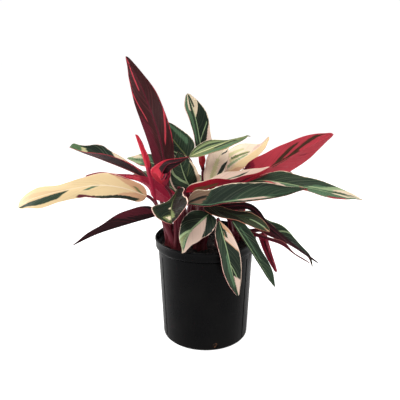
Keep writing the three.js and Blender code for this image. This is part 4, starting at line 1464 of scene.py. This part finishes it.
LEAVES: list[Leaf] = [
    Leaf(
        "tall", "left",
        wide=((20, 26, 29, 28, 25, 14, 4), (22, 26, 29, 30, 28, 18, 2)),
        spine=(
            (-87, -35, 402), (-99, -45, 480), (-124, -52, 562), (-146, -55, 614), (-162, -58, 645),
        ),
        face=(-0.15, 1, 0.2), fold=20, slot="blade_maroon",
        finish=painted(
            right(WINE, -0.3, 0.3, inner=(0.0, 0.45), feather=0.9),
            left(ROSE, 0.095, 0.15, inner=(0.34, 0.3), slant=0.4, feather=0.1),
            left(ROSE, 0.0, 0.5, inner=(0.93, 0.95), feather=0.06),
            right(ROSE, 0.72, 0.93, inner=(0.28, 0.32), outer=(0.36, 0.5), slant=0.0, feather=0.06),
            right(ROSE, 0.17, 0.205, inner=0.5, slant=0.57, feather=0.08),
            right(ROSE, 0.45, 0.92, inner=(0.93, 0.9), feather=0.08),
            right(ROSE, 0.94, 1.2, inner=0.1, outer=0.6, slant=0.0, feather=0.2),
            rib=WINE, margin=WINE, specular=0.1,
        ),
    ),
    Leaf(
        "hooked", "front_left",
        wide=((16, 32, 36, 22, 10, 6, 2), (24, 38, 40, 30, 24, 13, 2)),
        spine=(
            (-87, -72, 380), (-106, -80, 397), (-114, -86, 414), (-106, -90, 426), (-85, -94, 439),
            (-62, -96, 443), (-37, -98, 447),
        ),
        face=(0, -1, 0), turned=(0, -1, -0.3), fold=(150, 8), slot="blade_crimson",
        finish=painted(
            both(CRIMSON, -0.3, 0.12, slant=0.0, feather=0.1),
            left(SCARLET, 0.08, 0.5, outer=(0.7, 0.95), slant=0.0, feather=0.15),
            right(SCARLET, 0.08, 0.5, outer=(0.4, 0.9), slant=0.0, feather=0.15),
            both(SCARLET, 0.48, 0.74, outer=(0.4, 0.02), slant=0.0, feather=0.08),
            # Painted shade: the near-black ground stands in for the shadow inside the rolled blade.
            base=NIGHT, rib=SCARLET, margin=CRIMSON, margin_width=0.05, underside_only=True,
        ),
    ),
    Leaf(
        "rolled", "front_left",
        wide=((5, 8, 11, 13, 14, 12, 6), (5, 8, 11, 13, 14, 12, 6)),
        spine=((-110, -66, 348), (-120, -69, 393), (-130, -71, 436), (-146, -75, 490)),
        face=(1, 0, 0.3), curl=(165, 165), slot="blade_crimson",
        finish=painted(
            both(SCARLET, 0.5, 1.3, slant=0.0, feather=0.5),
            base=CRIMSON, rib=CRIMSON, margin=None, underside_only=True, specular=0.1,
        ),
    ),
    Leaf(
        "left_folded", "left",
        wide=((6, 18, 30, 31, 31, 18, 9), (24, 24, 26, 29, 34, 17, 12)),
        spine=((-131, 0, 376), (-171, 4, 397), (-239, 10, 423), (-280, 14, 437), (-308, 18, 448)),
        face=(0, -0.1, 1), turned=(0, -0.2, 1), fold=((75, 25), (0, 60)),
        finish=painted(
            right(CREAM, 0.05, 0.34, inner=0.66, slant=0.2, feather=0.15),
            right(DEEP, 0.34, 0.66, inner=(0.5, 0.3), slant=0.2, feather=0.3),
            right(STRAW, 0.76, 0.88, inner=0.1, outer=0.7, slant=0.1, feather=0.3),
            both(TWISTED, 0.84, 1.2, slant=0.05),
            # Painted shade: this patch paints the left half near black where it lies in shadow.
            left(NIGHT, 0.02, 0.5, inner=(0.1, 0.2), outer=(0.95, 0.8), feather=0.6),
            left(ROSE, -0.1, 0.1, inner=(0.8, 0.9), feather=0.2),
            margin=PINK,
        ),
    ),
    Leaf(
        "left_small", "back",
        wide=((20, 24, 26, 24, 20, 11, 2), (20, 24, 24, 24, 18, 11, 2)),
        spine=((-96, 60, 391), (-127, 60, 403), (-186, 62, 414)),
        face=(0, -0.5, 0.85), fold=15,
        finish=painted(
            both(MID, 0.3, 1.2, inner=(0.2, 0.0), slant=0.2, feather=0.8),
            both(PALE, 0.5, 1.2, inner=(0.3, 0.0), slant=0.2, feather=0.7),
            right(CREAM, 0.5, 0.72, inner=(0.45, 0.3), feather=0.4),
            left(ROSE, 0.0, 0.5, inner=(0.86, 0.9), feather=0.1),
        ),
    ),
    Leaf(
        "cream_long", "left",
        wide=((22, 26, 34, 26, 28, 29, 8), (22, 25, 34, 24, 19, 30, 16)),
        spine=(
            (-130, -42, 350), (-182, -55, 372), (-238, -62, 379), (-312, -68, 368), (-372, -73, 352),
            (-403, -76, 334),
        ),
        face=(0, -0.5, 0.87), fold=(12, (22, -5)), curl=(-65, 0), slot="blade_cream",
        finish=painted(
            both(TAN, -0.3, 0.06, feather=0.5), both(HONEY, 0.55, 1.4, slant=0.6, feather=1.0),
            left(GREEN, 0.57, 1.4, inner=(0.12, 0.7), outer=(0.7, 0.9), slant=0.16, feather=0.12),
            left(MID, 0.355, 0.4, inner=0.08, outer=0.42, slant=0.22, feather=0.3),
            left(DEEP, -0.02, 0.4, inner=(0.62, 0.9), slant=0.1, feather=0.12),
            left(WINE, 0.28, 0.44, inner=(0.92, 0.7), outer=(1.3, 0.9), slant=0.12, feather=0.05),
            right(MOSS, 0.02, 0.055, inner=(0.05, 0.1), outer=0.5, slant=0.14, feather=0.3),
            right(CRIMSON, 0.02, 0.16, inner=0.9, slant=0.15, feather=0.1),
            base=YELLOW, rib=CREAM, margin=PINK, vein_strength=0.16,
        ),
    ),
    Leaf(
        "crimson", "front_left",
        wide=((22, 18, 16, 11, 5, 6, 5), (8, 34, 24, 5, 5, 5, 4)),
        spine=(
            (-70, -46, 335), (-101, -42, 361), (-127, -36, 378), (-172, -27, 387), (-223, -22, 395),
            (-268, -20, 387),
        ),
        face=(-0.2, 0.8, 0.6), fold=15, slot="blade_crimson",
        finish=painted(
            right(WINE, 0.1, 0.3, inner=(0.5, 0.4), slant=0.5, feather=0.4),
            both(CRIMSON, -0.2, 0.7, slant=-0.1, feather=0.5),
            both(ROSE, 0.42, 0.6, inner=(0.0, 0.2), outer=(0.8, 0.5), slant=0.0, feather=0.9),
            left(TAN, 0.76, 1.1, inner=(0.3, 0.1), outer=(0.9, 0.8), feather=0.8),
            base=CREAM, rib=CRIMSON, rib_width=0.03, margin=PINK, specular=0.14,
        ),
    ),
    Leaf(
        "maroon_low", "left",
        wide=((24, 35, 34, 26, 17, 9, 2), (16, 23, 22, 17, 12, 7, 2)),
        spine=(
            (-107, -13, 299), (-131, -16, 292), (-171, -20, 281), (-245, -28, 258), (-303, -35, 231),
        ),
        face=(0, 0.2, 1), fold=(62, 30), slot="blade_maroon",
        finish=painted(
            both(WINE, -0.1, 0.25, inner=(0.2, 0.5), feather=0.6),
            left(DEEP, 0.3, 0.9, inner=0.2, outer=(0.8, 0.7), feather=0.8),
            # Painted shade: the ground and midrib are painted near black for the shade under the
            # leaves above.
            base=NIGHT, rib=NIGHT, margin=WINE, specular=0.12,
        ),
    ),
    Leaf(
        "heart", "front_left",
        wide=((14, 32, 34, 38, 46, 46, 15), (3, 3, 11, 38, 38, 28, 8)),
        spine=((-60, -62, 371), (-71, -100, 351), (-71, -140, 339), (-69, -170, 328)),
        face=(-0.35, -0.2, 0.93), fold=(25, 22),
        finish=painted(
            # Painted shade: the left half is painted nearly black for the shadow that falls on it.
            left(DUSK, -0.3, 1.3, inner=0.05, slant=0.2, feather=0.1),
            right(DEEP, 0.3, 0.8, inner=0.1, outer=(0.9, 0.7), slant=0.2, feather=0.5),
            right(MOSS, 0.74, 0.9, inner=0.02, outer=(0.62, 0.4), slant=0.12, feather=0.5),
            left(MOSS, 0.62, 0.86, outer=(0.05, 0.26), slant=0.1, feather=0.3),
            right(CREAM, 0.78, 0.88, inner=0.02, outer=(0.4, 0.2), slant=0.1, feather=0.6),
            right(CREAM, 0.5, 0.56, inner=0.02, outer=(0.16, 0.1), slant=0.3, feather=0.6),
            both(PINK, 0.9, 1.3, inner=(0.7, 0.5), slant=0.1, feather=0.3),
            base=OLIVE, rib=MOSS, rib_width=0.04, margin=PINK, margin_width=0.05, specular=0.1,
            vein_strength=0.12,
        ),
    ),
    Leaf(
        "pink_front", "middle",
        wide=((24, 34, 36, 31, 27, 18, 6), (12, 34, 39, 34, 25, 20, 8)),
        spine=((7, -47, 311), (-15, -73, 299), (-34, -98, 289), (-46, -118, 275), (-51, -132, 251)),
        face=(-0.25, -0.75, 0.6), turned=(0.5, -0.8, 0.2), fold=(10, (15, -120)), slot="blade_cream",
        finish=painted(
            left(DEEP, -0.3, 0.5, inner=(0.1, 0.5), slant=0.05, feather=0.1),
            left(PINK, 0.1, 1.1, inner=(0.06, 0.1), outer=(0.12, 2.3), slant=0.05, feather=0.1),
            left(MID, 0.6, 0.92, inner=0.0, outer=(0.12, 0.4), slant=0.1, feather=0.2),
            left(PALE, 0.5, 0.9, outer=(0.1, 0.16), slant=0.0, feather=0.2),
            right(DEEP, 0.1, 0.5, inner=0.1, slant=0.14, feather=0.3),
            right(PALE, 0.52, 0.6, slant=0.14),
            right(MOSS, 0.62, 0.86, inner=(0.1, 0.2), slant=0.1, feather=0.4),
            both(CREAM, 0.9, 1.2, feather=0.2),
            margin=PINK,
        ),
    ),
    Leaf(
        "hanging", "front_right",
        wide=((4, 17, 23, 25, 22, 13, 2), (5, 17, 20, 19, 20, 15, 5)),
        spine=((28, -68, 301), (43, -110, 254), (54, -136, 210), (68, -148, 162)),
        face=(0.1, -0.9, 0.4), fold=(8, 20),
        finish=painted(
            right(GREEN, 0.0, 1.0, inner=0.06, outer=0.8, feather=0.5),
            right(MID, 0.45, 0.85, inner=(0.04, 0.1), outer=(0.3, 0.4), slant=0.1, feather=0.4),
            left(TAN, -0.2, 0.26, inner=(0.6, 0.04), slant=0.22),
            left(PINK, 0.04, 0.24, inner=(0.5, 0.1), slant=0.22, feather=0.2),
            left(GREEN, 0.0, 0.16, inner=0.2, outer=(0.5, 0.4), slant=0.3, feather=0.6),
            left(PALE, 0.58, 0.61, inner=0.02, outer=0.6, slant=0.4, feather=0.2),
            left(PINK, 0.74, 1.1, inner=(0.1, 0.05), outer=0.9, slant=0.08, feather=0.2),
            base=DEEP, margin=PINK, margin_width=0.05,
        ),
    ),
    Leaf(
        "right_low", "right",
        wide=((17, 21, 22, 19, 18, 13, 2), (3, 3, 3, 3, 3, 4, 1)),
        spine=((57, -68, 301), (88, -86, 256), (122, -98, 205), (151, -102, 160)),
        face=(-0.2, -0.9, 0.5), fold=(10, 30),
        finish=painted(
            left(MID, 0.1, 0.6, inner=0.3, outer=(0.38, 0.36), slant=0.05, feather=0.2),
            left(DEEP, 0.0, 0.5, inner=(0.5, 0.6), feather=0.6),
            margin=MID,
        ),
    ),
    Leaf(
        "olive_small", "middle",
        wide=((6, 9, 11, 15, 17, 15, 5), (14, 22, 20, 16, 17, 15, 3)),
        spine=(
            (-4, -42, 327), (31, -52, 320), (63, -62, 312), (95, -75, 306), (115, -88, 298),
            (135, -98, 286),
        ),
        face=(0, -0.45, 0.9), fold=(10, 5),
        finish=painted(
            # Painted shade: the base is painted near black for the shadow under the crown.
            both(NIGHT, -0.3, 0.42, inner=(0.0, 0.2), feather=0.5),
            left(GREEN, 0.4, 0.9, inner=0.05, outer=(0.2, 0.4), slant=0.1, feather=0.3),
            left(PALE, 0.66, 0.9, inner=(0.0, 0.05), outer=(0.12, 0.3), slant=0.1, feather=0.3),
            both(TAN, 0.9, 1.2, feather=0.3),
            base=OLIVE, rib=OLIVE, margin=TAN, margin_width=0.05,
        ),
    ),
    Leaf(
        "right_droop", "right",
        wide=((20, 30, 35, 34, 20, 8, 2), (20, 30, 36, 26, 8, 4, 2)),
        spine=(
            (79, -10, 298), (130, -14, 258), (162, -17, 242), (188, -20, 231), (213, -22, 216),
            (237, -25, 199), (248, -28, 175),
        ),
        face=(0, -0.1, 1), turned=(0, -0.4, 0.9), fold=(35, (78, 50)),
        finish=painted(
            left(PALE, 0.3, 0.33, inner=0.4, outer=1.1, slant=0.3, feather=0.2),
            left(DEEP, 0.45, 0.9, inner=0.2, outer=(0.9, 0.8), feather=0.5),
            right(WINE, 0.1, 0.8, inner=0.1, outer=0.9, feather=0.5),
            right(PALE, 0.2, 0.8, inner=0.93, feather=0.1),
            margin=PALE, margin_width=0.04,
        ),
    ),
    Leaf(
        "right_arched", "middle",
        wide=((12, 18, 14, 10, 7, 5, 2), (8, 8, 7, 6, 5, 4, 2)),
        spine=(
            (-6, -34, 323), (36, -34, 324), (75, -36, 327), (98, -38, 324), (115, -41, 312),
            (135, -44, 287), (187, -48, 243), (255, -50, 194),
        ),
        face=(0, 0.93, 0.35), turned=(0.1, 0.8, 0.6), fold=((10, 30), (10, 30)), slot="blade_maroon",
        # Painted shade: the whole blade is painted near black, a dark sheet standing in for the
        # shadow below the leaves above it.
        finish=painted(base=NIGHT, rib=WINE, margin=DEEP, underside_only=True),
    ),
    Leaf(
        "right_thin", "front_right",
        wide=((3, 3, 3, 3, 2, 2, 1), (6, 9, 11, 10, 5, 3, 2)),
        spine=(
            (91, -35, 265), (118, -36, 254), (141, -38, 247), (173, -40, 235), (205, -42, 211),
            (238, -44, 191),
        ),
        face=(0, 0.5, 0.87), fold=25, slot="blade_crimson",
        finish=painted(base=WINE, rib=CRIMSON, margin=PALE, margin_width=0.16, underside_only=True),
    ),
    Leaf(
        "right_down", "right",
        wide=((17, 16, 15, 14, 12, 8, 4), (8, 8, 7, 6, 5, 4, 3)),
        spine=((137, 20, 243), (149, 22, 205), (161, 24, 173), (174, 26, 138)),
        face=(0, 1, 0.2), fold=30, slot="blade_crimson",
        finish=painted(
            both(DEEP, 0.2, 0.9, inner=0.1, outer=(0.34, 0.3), slant=0.0, feather=0.3),
            base=CRIMSON, rib=CRIMSON, margin=None, underside_only=True,
        ),
    ),
    Leaf(
        "right_long", "front_left",
        wide=((36, 37, 40, 37, 32, 14, 2), (5, 7, 10, 15, 18, 10, 2)),
        spine=(
            (-41, -70, 341), (-17, -74, 340), (8, -77, 340), (40, -80, 348), (82, -83, 356),
            (125, -82, 361), (165, -78, 366), (191, -74, 371), (217, -70, 374),
        ),
        face=(0, -0.35, 0.94), fold=((25, 30), (12, 10)),
        finish=painted(
            both(DEEP, -0.1, 0.34, slant=0.3, feather=0.8),
            # Painted shade: the near-black stripes and the darkened tan lobe at the base stand in
            # for shadow there.
            right(NIGHT, -0.4, 0.06, inner=0.1, feather=0.3),
            left(BRONZE, -0.5, 0.12, slant=0.1, feather=0.3),
            left(NIGHT, -0.06, 0.0, inner=0.04, outer=0.62, slant=0.3, feather=0.2),
            left(GREEN, 0.11, 0.14, slant=0.1, feather=0.4),
            left(DEEP, 0.14, 0.9, inner=(0.62, 0.8), outer=1.3, feather=0.3),
            right(PALE, 0.26, 0.62, inner=(0.1, 0.08), outer=(0.4, 0.62), slant=0.15, feather=0.5),
            right(PINK, 0.4, 0.62, inner=0.04, outer=(0.62, 0.5), slant=0.1, feather=0.3),
            right(DRIED, 0.48, 0.56, inner=0.8, slant=0.05, feather=0.2),
            both(CRIMSON, 0.93, 1.2, feather=0.2),
            rib=MID, rib_width=0.05, vein_strength=0.15,
        ),
    ),
    Leaf(
        "right_longest", "right",
        wide=((4, 14, 35, 34, 29, 18, 2), (14, 18, 19, 19, 26, 21, 2)),
        spine=(
            (77, -5, 368), (126, -8, 377), (158, -10, 374), (189, -12, 369), (219, -13, 363),
            (248, -14, 357), (279, -16, 351), (308, -18, 346), (333, -19, 341), (354, -20, 334),
        ),
        face=(0, -0.3, 0.95), fold=((20, 15), (8, 4)),
        finish=painted(
            left(CRIMSON, -0.3, 0.0, inner=0.2, feather=0.5),
            right(MID, 0.2, 0.9, inner=0.05, feather=0.5),
            left(MID, 0.5, 0.7, inner=0.0, outer=(0.5, 0.6), feather=0.5),
            left(PALE, 0.54, 0.74, inner=(0.1, 0.2), outer=(0.22, 0.46), slant=0.1, feather=0.5),
            left(PALE, 0.6, 0.74, inner=0.3, outer=(0.9, 1.2), slant=0.2, feather=0.3),
            left(CREAM, 0.68, 1.2, inner=(0.3, 0.02), slant=0.2, feather=0.3),
            right(PINK, 0.24, 0.3, inner=0.1, outer=0.8, slant=0.1, feather=0.5),
            right(ROSE, 0.17, 0.23, inner=0.1, outer=0.8, slant=0.1, feather=0.4),
            right(CRIMSON, 0.47, 0.5, inner=0.1, slant=0.05, feather=0.3),
            right(CREAM, 0.72, 0.8, inner=0.0, outer=(0.6, 0.5), feather=0.4),
            right(CRIMSON, 0.62, 0.76, inner=0.72, slant=0.1, feather=0.15),
            right(CREAM, 0.84, 1.2, feather=0.3),
        ),
    ),
    Leaf(
        "pink_upper", "right",
        wide=((20, 36, 42, 47, 40, 24, 4), (20, 33, 36, 34, 30, 19, 6)),
        spine=((88, 22, 385), (144, 27, 399), (194, 32, 424), (244, 35, 452), (292, 38, 474)),
        face=(-0.2, 0.93, 0.3), fold=12, slot="blade_pink",
        finish=painted(
            both(CRIMSON, -0.2, 0.12, slant=0.0, feather=0.5),
            right(WINE, -0.2, 0.08, inner=0.5, slant=0.0, feather=0.3),
            right(OLIVE, 0.28, 0.385, outer=0.68, slant=0.42, feather=0.3),
            right(OLIVE, 0.32, 0.62, outer=(0.06, 0.14), slant=0.0, feather=0.2),
            right(OLIVE, 0.42, 0.55, inner=0.02, outer=(0.5, 0.42), slant=0.62),
            right(OLIVE, 0.53, 0.65, inner=0.25, outer=0.85, slant=0.35, feather=0.3),
            left(OLIVE, 0.3, 0.5, outer=(0.12, 0.06), slant=0.0, feather=0.2),
            left(CREAM, 0.5, 0.53, inner=0.3, outer=0.5, slant=0.3, feather=0.4),
            base=ROSE, rib=ROSE, rib_width=0.02, margin=ROSE, vein_strength=0.3, specular=0.14,
        ),
    ),
    Leaf(
        "cream_folded", "middle",
        wide=((14, 21, 22, 31, 31, 22, 4), (16, 22, 23, 18, 24, 20, 4)),
        spine=(
            (-44, -24, 355), (-24, -23, 357), (-2, -22, 360), (16, -21, 365), (36, -20, 370),
            (72, -18, 373), (99, -15, 379), (121, -12, 390), (143, -10, 408),
        ),
        face=(0, -0.05, 1), fold=((50, 42), (72, 40)), slot="blade_cream",
        finish=painted(
            left(MID, 0.2, 0.25, inner=(0.25, 0.3), outer=(0.7, 0.8), slant=0.65, feather=0.3),
            left(GREEN, 0.32, 0.38, inner=(0.45, 0.5), outer=0.75, slant=0.5, feather=0.2),
            right(SCARLET, 0.5, 1.2, inner=0.05, feather=0.4),
            right(SCARLET, -0.3, 0.3, feather=0.4),
            right(DRIED, 0.06, 0.34, inner=(0.06, 0.08), outer=(0.5, 0.4), slant=0.1, feather=0.3),
            right(PINK, 0.18, 0.44, outer=(0.04, 0.08), slant=0.0, feather=0.1),
            right(WINE, 0.52, 0.6, inner=0.1, outer=0.6, slant=0.3, feather=0.4),
            base=PINK, rib=CRIMSON, rib_width=0.02, vein_strength=0.3, specular=0.14,
        ),
    ),
    Leaf(
        "cream_upright", "back",
        wide=((18, 22, 22, 26, 24, 16, 4), (18, 24, 27, 27, 25, 18, 4)),
        spine=((14, 26, 358), (20, 36, 390), (34, 46, 425), (52, 52, 448)),
        face=(-0.3, -0.85, 0.3), fold=12, slot="blade_cream",
        finish=painted(
            left(PINK, -0.1, 0.9, inner=0.8, feather=0.5),
            both(STRAW, -0.1, 0.6, outer=(0.4, 0.14), slant=0.1, feather=0.5),
            right(DEEP, -0.02, 0.28, inner=(0.3, 0.55), outer=(0.75, 1.1), slant=0.38, feather=0.2),
            right(DEEP, 0.68, 0.73, inner=0.1, outer=0.7, slant=0.28, feather=0.2),
            base=IVORY, rib=STRAW, vein_strength=0.14,
        ),
    ),
    Leaf(
        "cream_right", "back_right",
        wide=((20, 34, 38, 35, 22, 4, 2), (10, 20, 26, 25, 19, 14, 4)),
        spine=(
            (44, 58, 374), (61, 60, 392), (82, 62, 409), (105, 64, 424), (126, 66, 439),
            (140, 67, 454), (149, 68, 464),
        ),
        face=(0, -0.6, 0.8), fold=(15, 10), slot="blade_cream",
        finish=painted(
            right(YELLOW, -0.3, 1.2, feather=0.1),
            left(STRAW, 0.2, 0.56, inner=(0.26, 0.2), outer=(0.5, 0.3), slant=0.06, feather=0.12),
            left(STRAW, 0.14, 0.5, inner=(0.6, 0.5), outer=(0.9, 0.62), slant=0.06, feather=0.12),
            right(TAN, -0.2, 0.14, inner=(0.2, 0.4), feather=0.6),
            left(PALE, 0.12, 0.54, inner=(0.12, 0.02), outer=(0.3, 0.12), slant=0.0, feather=0.9),
            left(MOSS, 0.28, 0.58, inner=(0.33, 0.12), outer=(0.52, 0.21), slant=0.0, feather=0.9),
            left(GREEN, -0.02, 0.07, inner=0.24, outer=(0.7, 0.5), slant=0.1, feather=0.2),
            left(PINK, 0.6, 1.2, inner=0.1, feather=0.5),
            base=IVORY, rib=CREAM, margin=YELLOW, vein_strength=0.14,
        ),
    ),
    Leaf(
        "striped", "back",
        wide=((6, 22, 29, 18, 6, 3, 1), (5, 15, 21, 22, 24, 13, 1)),
        spine=(
            (-38, 0, 429), (-13, -3, 440), (9, -4, 449), (31, -5, 458), (53, -6, 467), (71, -6, 471),
            (84, -6, 475), (91, -6, 478), (99, -6, 476),
        ),
        face=(0, -0.5, 0.87), fold=((12, -20), 8),
        finish=painted(
            left(PALE, 0.1, 0.66, inner=(0.14, 0.18), outer=(0.19, 0.23), slant=0.05, feather=0.3),
            left(GREEN, 0.08, 0.66, inner=(0.26, 0.34), outer=(0.42, 0.62), slant=0.04),
            left(PALE, 0.06, 0.55, inner=(0.52, 0.67), outer=(0.58, 0.72), slant=0.06, feather=0.3),
            left(GREEN, -0.1, 0.36, inner=(0.74, 0.86), outer=(0.9, 1.0), slant=0.06, feather=0.3),
            right(PALE, 0.14, 0.55, inner=(0.08, 0.04), outer=(0.15, 0.09), slant=0.05, feather=0.3),
            right(GREEN, 0.4, 0.76, inner=(0.14, 0.12), outer=(0.36, 0.34), slant=0.05, feather=0.3),
            right(MID, 0.1, 0.8, inner=(0.45, 0.5), outer=0.8, slant=0.2, feather=0.6),
            base=MOSS, rib=STRAW,
        ),
    ),
    Leaf(
        "upright", "back",
        wide=((14, 13, 12, 14, 16, 17, 6), (22, 27, 28, 29, 27, 18, 4)),
        spine=((-8, 50, 424), (-14, 50, 459), (-22, 50, 503), (-32, 49, 537), (-41, 48, 565)),
        face=(0.2, -0.95, 0.1), fold=(10, 15),
        finish=painted(
            right(DEEP, 0.1, 0.9, inner=0.08, slant=0.2, feather=0.3),
            right(PALE, 0.2, 0.225, inner=0.1, outer=0.8, slant=0.36, feather=0.3),
            right(PINK, 0.02, 0.28, inner=(0.4, 0.95), slant=0.22, feather=0.15),
            right(CREAM, 0.6, 1.0, inner=(0.02, 0.05), outer=1.6, slant=0.28, feather=0.15),
            right(GREEN, 0.74, 0.96, inner=(0.14, 0.0), outer=(0.26, 0.4), slant=0.15, feather=0.2),
            left(MID, 0.1, 0.9, inner=(0.45, 0.3), outer=(0.75, 0.9), slant=0.2, feather=0.6),
            left(CREAM, 0.7, 1.1, inner=(0.3, 0.1), outer=(0.5, 0.4), slant=0.1, feather=0.3),
            left(PINK, 0.3, 1.0, inner=(0.94, 0.84), feather=0.08),
            margin_width=0.04, vein_strength=0.12,
        ),
    ),
    Leaf(
        "upright_small", "back",
        wide=((3, 5, 8, 9, 9, 6, 2), (3, 4, 7, 8, 8, 6, 2)),
        spine=((-7, 42, 388), (-8, 41, 407), (-11, 38, 440)),
        face=(0.3, -0.95, 0), fold=20, slot="blade_crimson",
        finish=painted(
            both(WINE, -0.2, 0.1, feather=0.5),
            left(ROSE, 0.3, 0.8, inner=(0.4, 0.5), outer=1.1, feather=0.5),
            base=SCARLET, rib=ROSE, rib_width=0.04, margin=PINK, specular=0.14,
        ),
    ),
    Leaf(
        "behind_tall", "back",
        wide=((20, 21, 20, 20, 18, 12, 2), (22, 34, 35, 32, 26, 18, 4)),
        spine=((-40, 26, 421), (-59, 30, 443), (-79, 32, 469), (-103, 34, 505)),
        face=(0, -0.9, 0.3), fold=(10, 12),
        finish=painted(
            left(DEEP, 0.05, 0.5, inner=0.1, outer=(0.9, 0.8), feather=0.5),
            left(PALE, -0.02, 0.03, inner=(0.4, 0.3), outer=1.1, slant=0.4, feather=0.2),
            right(MID, 0.1, 1.0, inner=0.5, outer=0.8, feather=0.9),
            rib=MOSS,
        ),
    ),
    Leaf(
        "centre", "front_left",
        wide=((30, 34, 35, 32, 22, 12, 2), (28, 32, 32, 31, 26, 18, 2)),
        spine=((-36, 2, 359), (-46, -4, 381), (-55, -6, 409), (-62, -4, 441)),
        face=(0, -0.9, 0.3), fold=(12, 15),
        finish=painted(
            both(GREEN, 0.0, 1.0, inner=0.1, outer=0.7, feather=0.8),
            left(PALE, 0.07, 0.16, inner=0.05, outer=0.9, slant=0.56, feather=0.3),
            right(MOSS, 0.2, 0.23, inner=0.2, outer=0.7, slant=0.6, feather=0.15),
            right(CREAM, -0.1, 0.72, inner=(0.68, 0.88), slant=0.0, feather=0.12),
            left(PINK, -0.1, 0.6, inner=(0.9, 0.92), slant=0.0, feather=0.1),
            base=DEEP, rib_width=0.05,
        ),
    ),
    Leaf(
        "back_1", "back",
        wide=((10, 27, 34, 33, 28, 18, 2), (10, 27, 34, 33, 28, 18, 2)),
        spine=((-10, 60, 300), (-26, 125, 326), (-50, 205, 330), (-70, 292, 280)),
        face=(0, 0, 1), fold=18, finish=PLAIN,
    ),
    Leaf(
        "back_2", "back",
        wide=((10, 27, 34, 33, 28, 18, 2), (10, 27, 34, 33, 28, 18, 2)),
        spine=((24, 80, 350), (44, 135, 390), (75, 205, 385), (110, 280, 340)),
        face=(0, 0, 1), fold=18,
        finish=painted(
            left(MID, 0.05, 0.8, inner=0.3, outer=(0.8, 0.7), feather=0.7),
            right(PALE, 0.34, 0.42, inner=0.1, outer=(0.8, 0.9), slant=0.3, feather=0.4),
            right(CREAM, 0.5, 0.9, inner=(0.5, 0.3), feather=0.4),
        ),
    ),
    Leaf(
        "back_3", "back_right",
        wide=((10, 27, 34, 33, 28, 18, 2), (10, 27, 34, 33, 28, 18, 2)),
        spine=((64, 60, 330), (120, 105, 365), (190, 160, 360), (260, 200, 320)),
        face=(0, 0, 1), fold=18,
        finish=painted(
            left(PINK, -0.1, 0.3, inner=(0.3, 0.2), outer=(0.8, 1.2), feather=0.5),
            left(CREAM, 0.66, 1.1, inner=(0.2, 0.05), feather=0.4),
            right(MID, 0.2, 0.9, inner=(0.2, 0.1), outer=(0.7, 0.6), feather=0.7),
        ),
    ),
    Leaf(
        "back_4", "left",
        wide=((10, 27, 34, 33, 28, 18, 2), (10, 27, 34, 33, 28, 18, 2)),
        spine=((-58, 34, 318), (-80, 46, 346), (-140, 90, 358), (-200, 130, 345), (-265, 160, 300)),
        face=(0, 0, 1), fold=18, finish=PLAIN,
    ),
    Leaf(
        "back_5", "back",
        wide=((8, 23, 30, 29, 24, 15, 2), (8, 23, 30, 29, 24, 15, 2)),
        spine=((2, 64, 292), (-2, 116, 296), (-8, 163, 252), (-12, 188, 176)),
        face=(0, 0, 1), turned=(0, 1, 0.3), fold=18,
        finish=painted(
            right(CREAM, 0.1, 0.5, inner=(0.12, 0.4), slant=0.3, feather=0.4),
            left(MID, 0.4, 0.9, inner=0.1, outer=(0.8, 0.7), feather=0.7),
            left(PALE, 0.2, 0.27, inner=0.1, outer=(0.8, 0.9), slant=0.35, feather=0.4),
        ),
    ),
    Leaf(
        "back_6", "back_right",
        wide=((8, 23, 30, 29, 24, 15, 2), (8, 23, 30, 29, 24, 15, 2)),
        spine=((46, 90, 300), (62, 125, 308), (80, 160, 265), (95, 180, 185)),
        face=(0, 0, 1), turned=(0, 1, 0.3), fold=18,
        finish=painted(
            right(GREEN, -0.1, 0.9, inner=(0.1, 0.05), outer=(0.8, 0.9), feather=0.4),
            right(MID, 0.2, 0.8, inner=0.3, outer=(0.7, 0.6), feather=0.6),
            left(GREEN, 0.1, 0.36, inner=(0.2, 0.1), outer=(0.9, 0.7), feather=0.5),
            base=PINK, rib=CREAM,
        ),
    ),
    Leaf(
        "back_7", "back",
        wide=((10, 27, 34, 33, 28, 18, 2), (10, 27, 34, 33, 28, 18, 2)),
        spine=((-72, 72, 380), (-94, 140, 430), (-116, 210, 430), (-140, 280, 395)),
        face=(0, 0, 1), fold=18, finish=PLAIN,
    ),
]


# ---- making --------------------------------------------------------------------------
def main() -> None:
    """Builds the pot, the mix, the shoots, the blades and the studio round them."""
    logging.basicConfig(level=logging.INFO, format="%(name)s: %(message)s")
    studio = Studio()
    studio.camera()
    pot = Pot()
    pot.build()
    PottingMix(tuple(SHOOTS.values()), pot).build()
    skin = StalkFinish().material()
    for name, foot in SHOOTS.items():
        Shoot(name, foot, [leaf for leaf in LEAVES if leaf.shoot == name], skin).build()
    groups = LeafGroups()
    for number, leaf in enumerate(LEAVES):
        Blade(leaf, float(number), groups).build()
    studio.floor()
    studio.light()


if __name__ == "__main__":
    main()
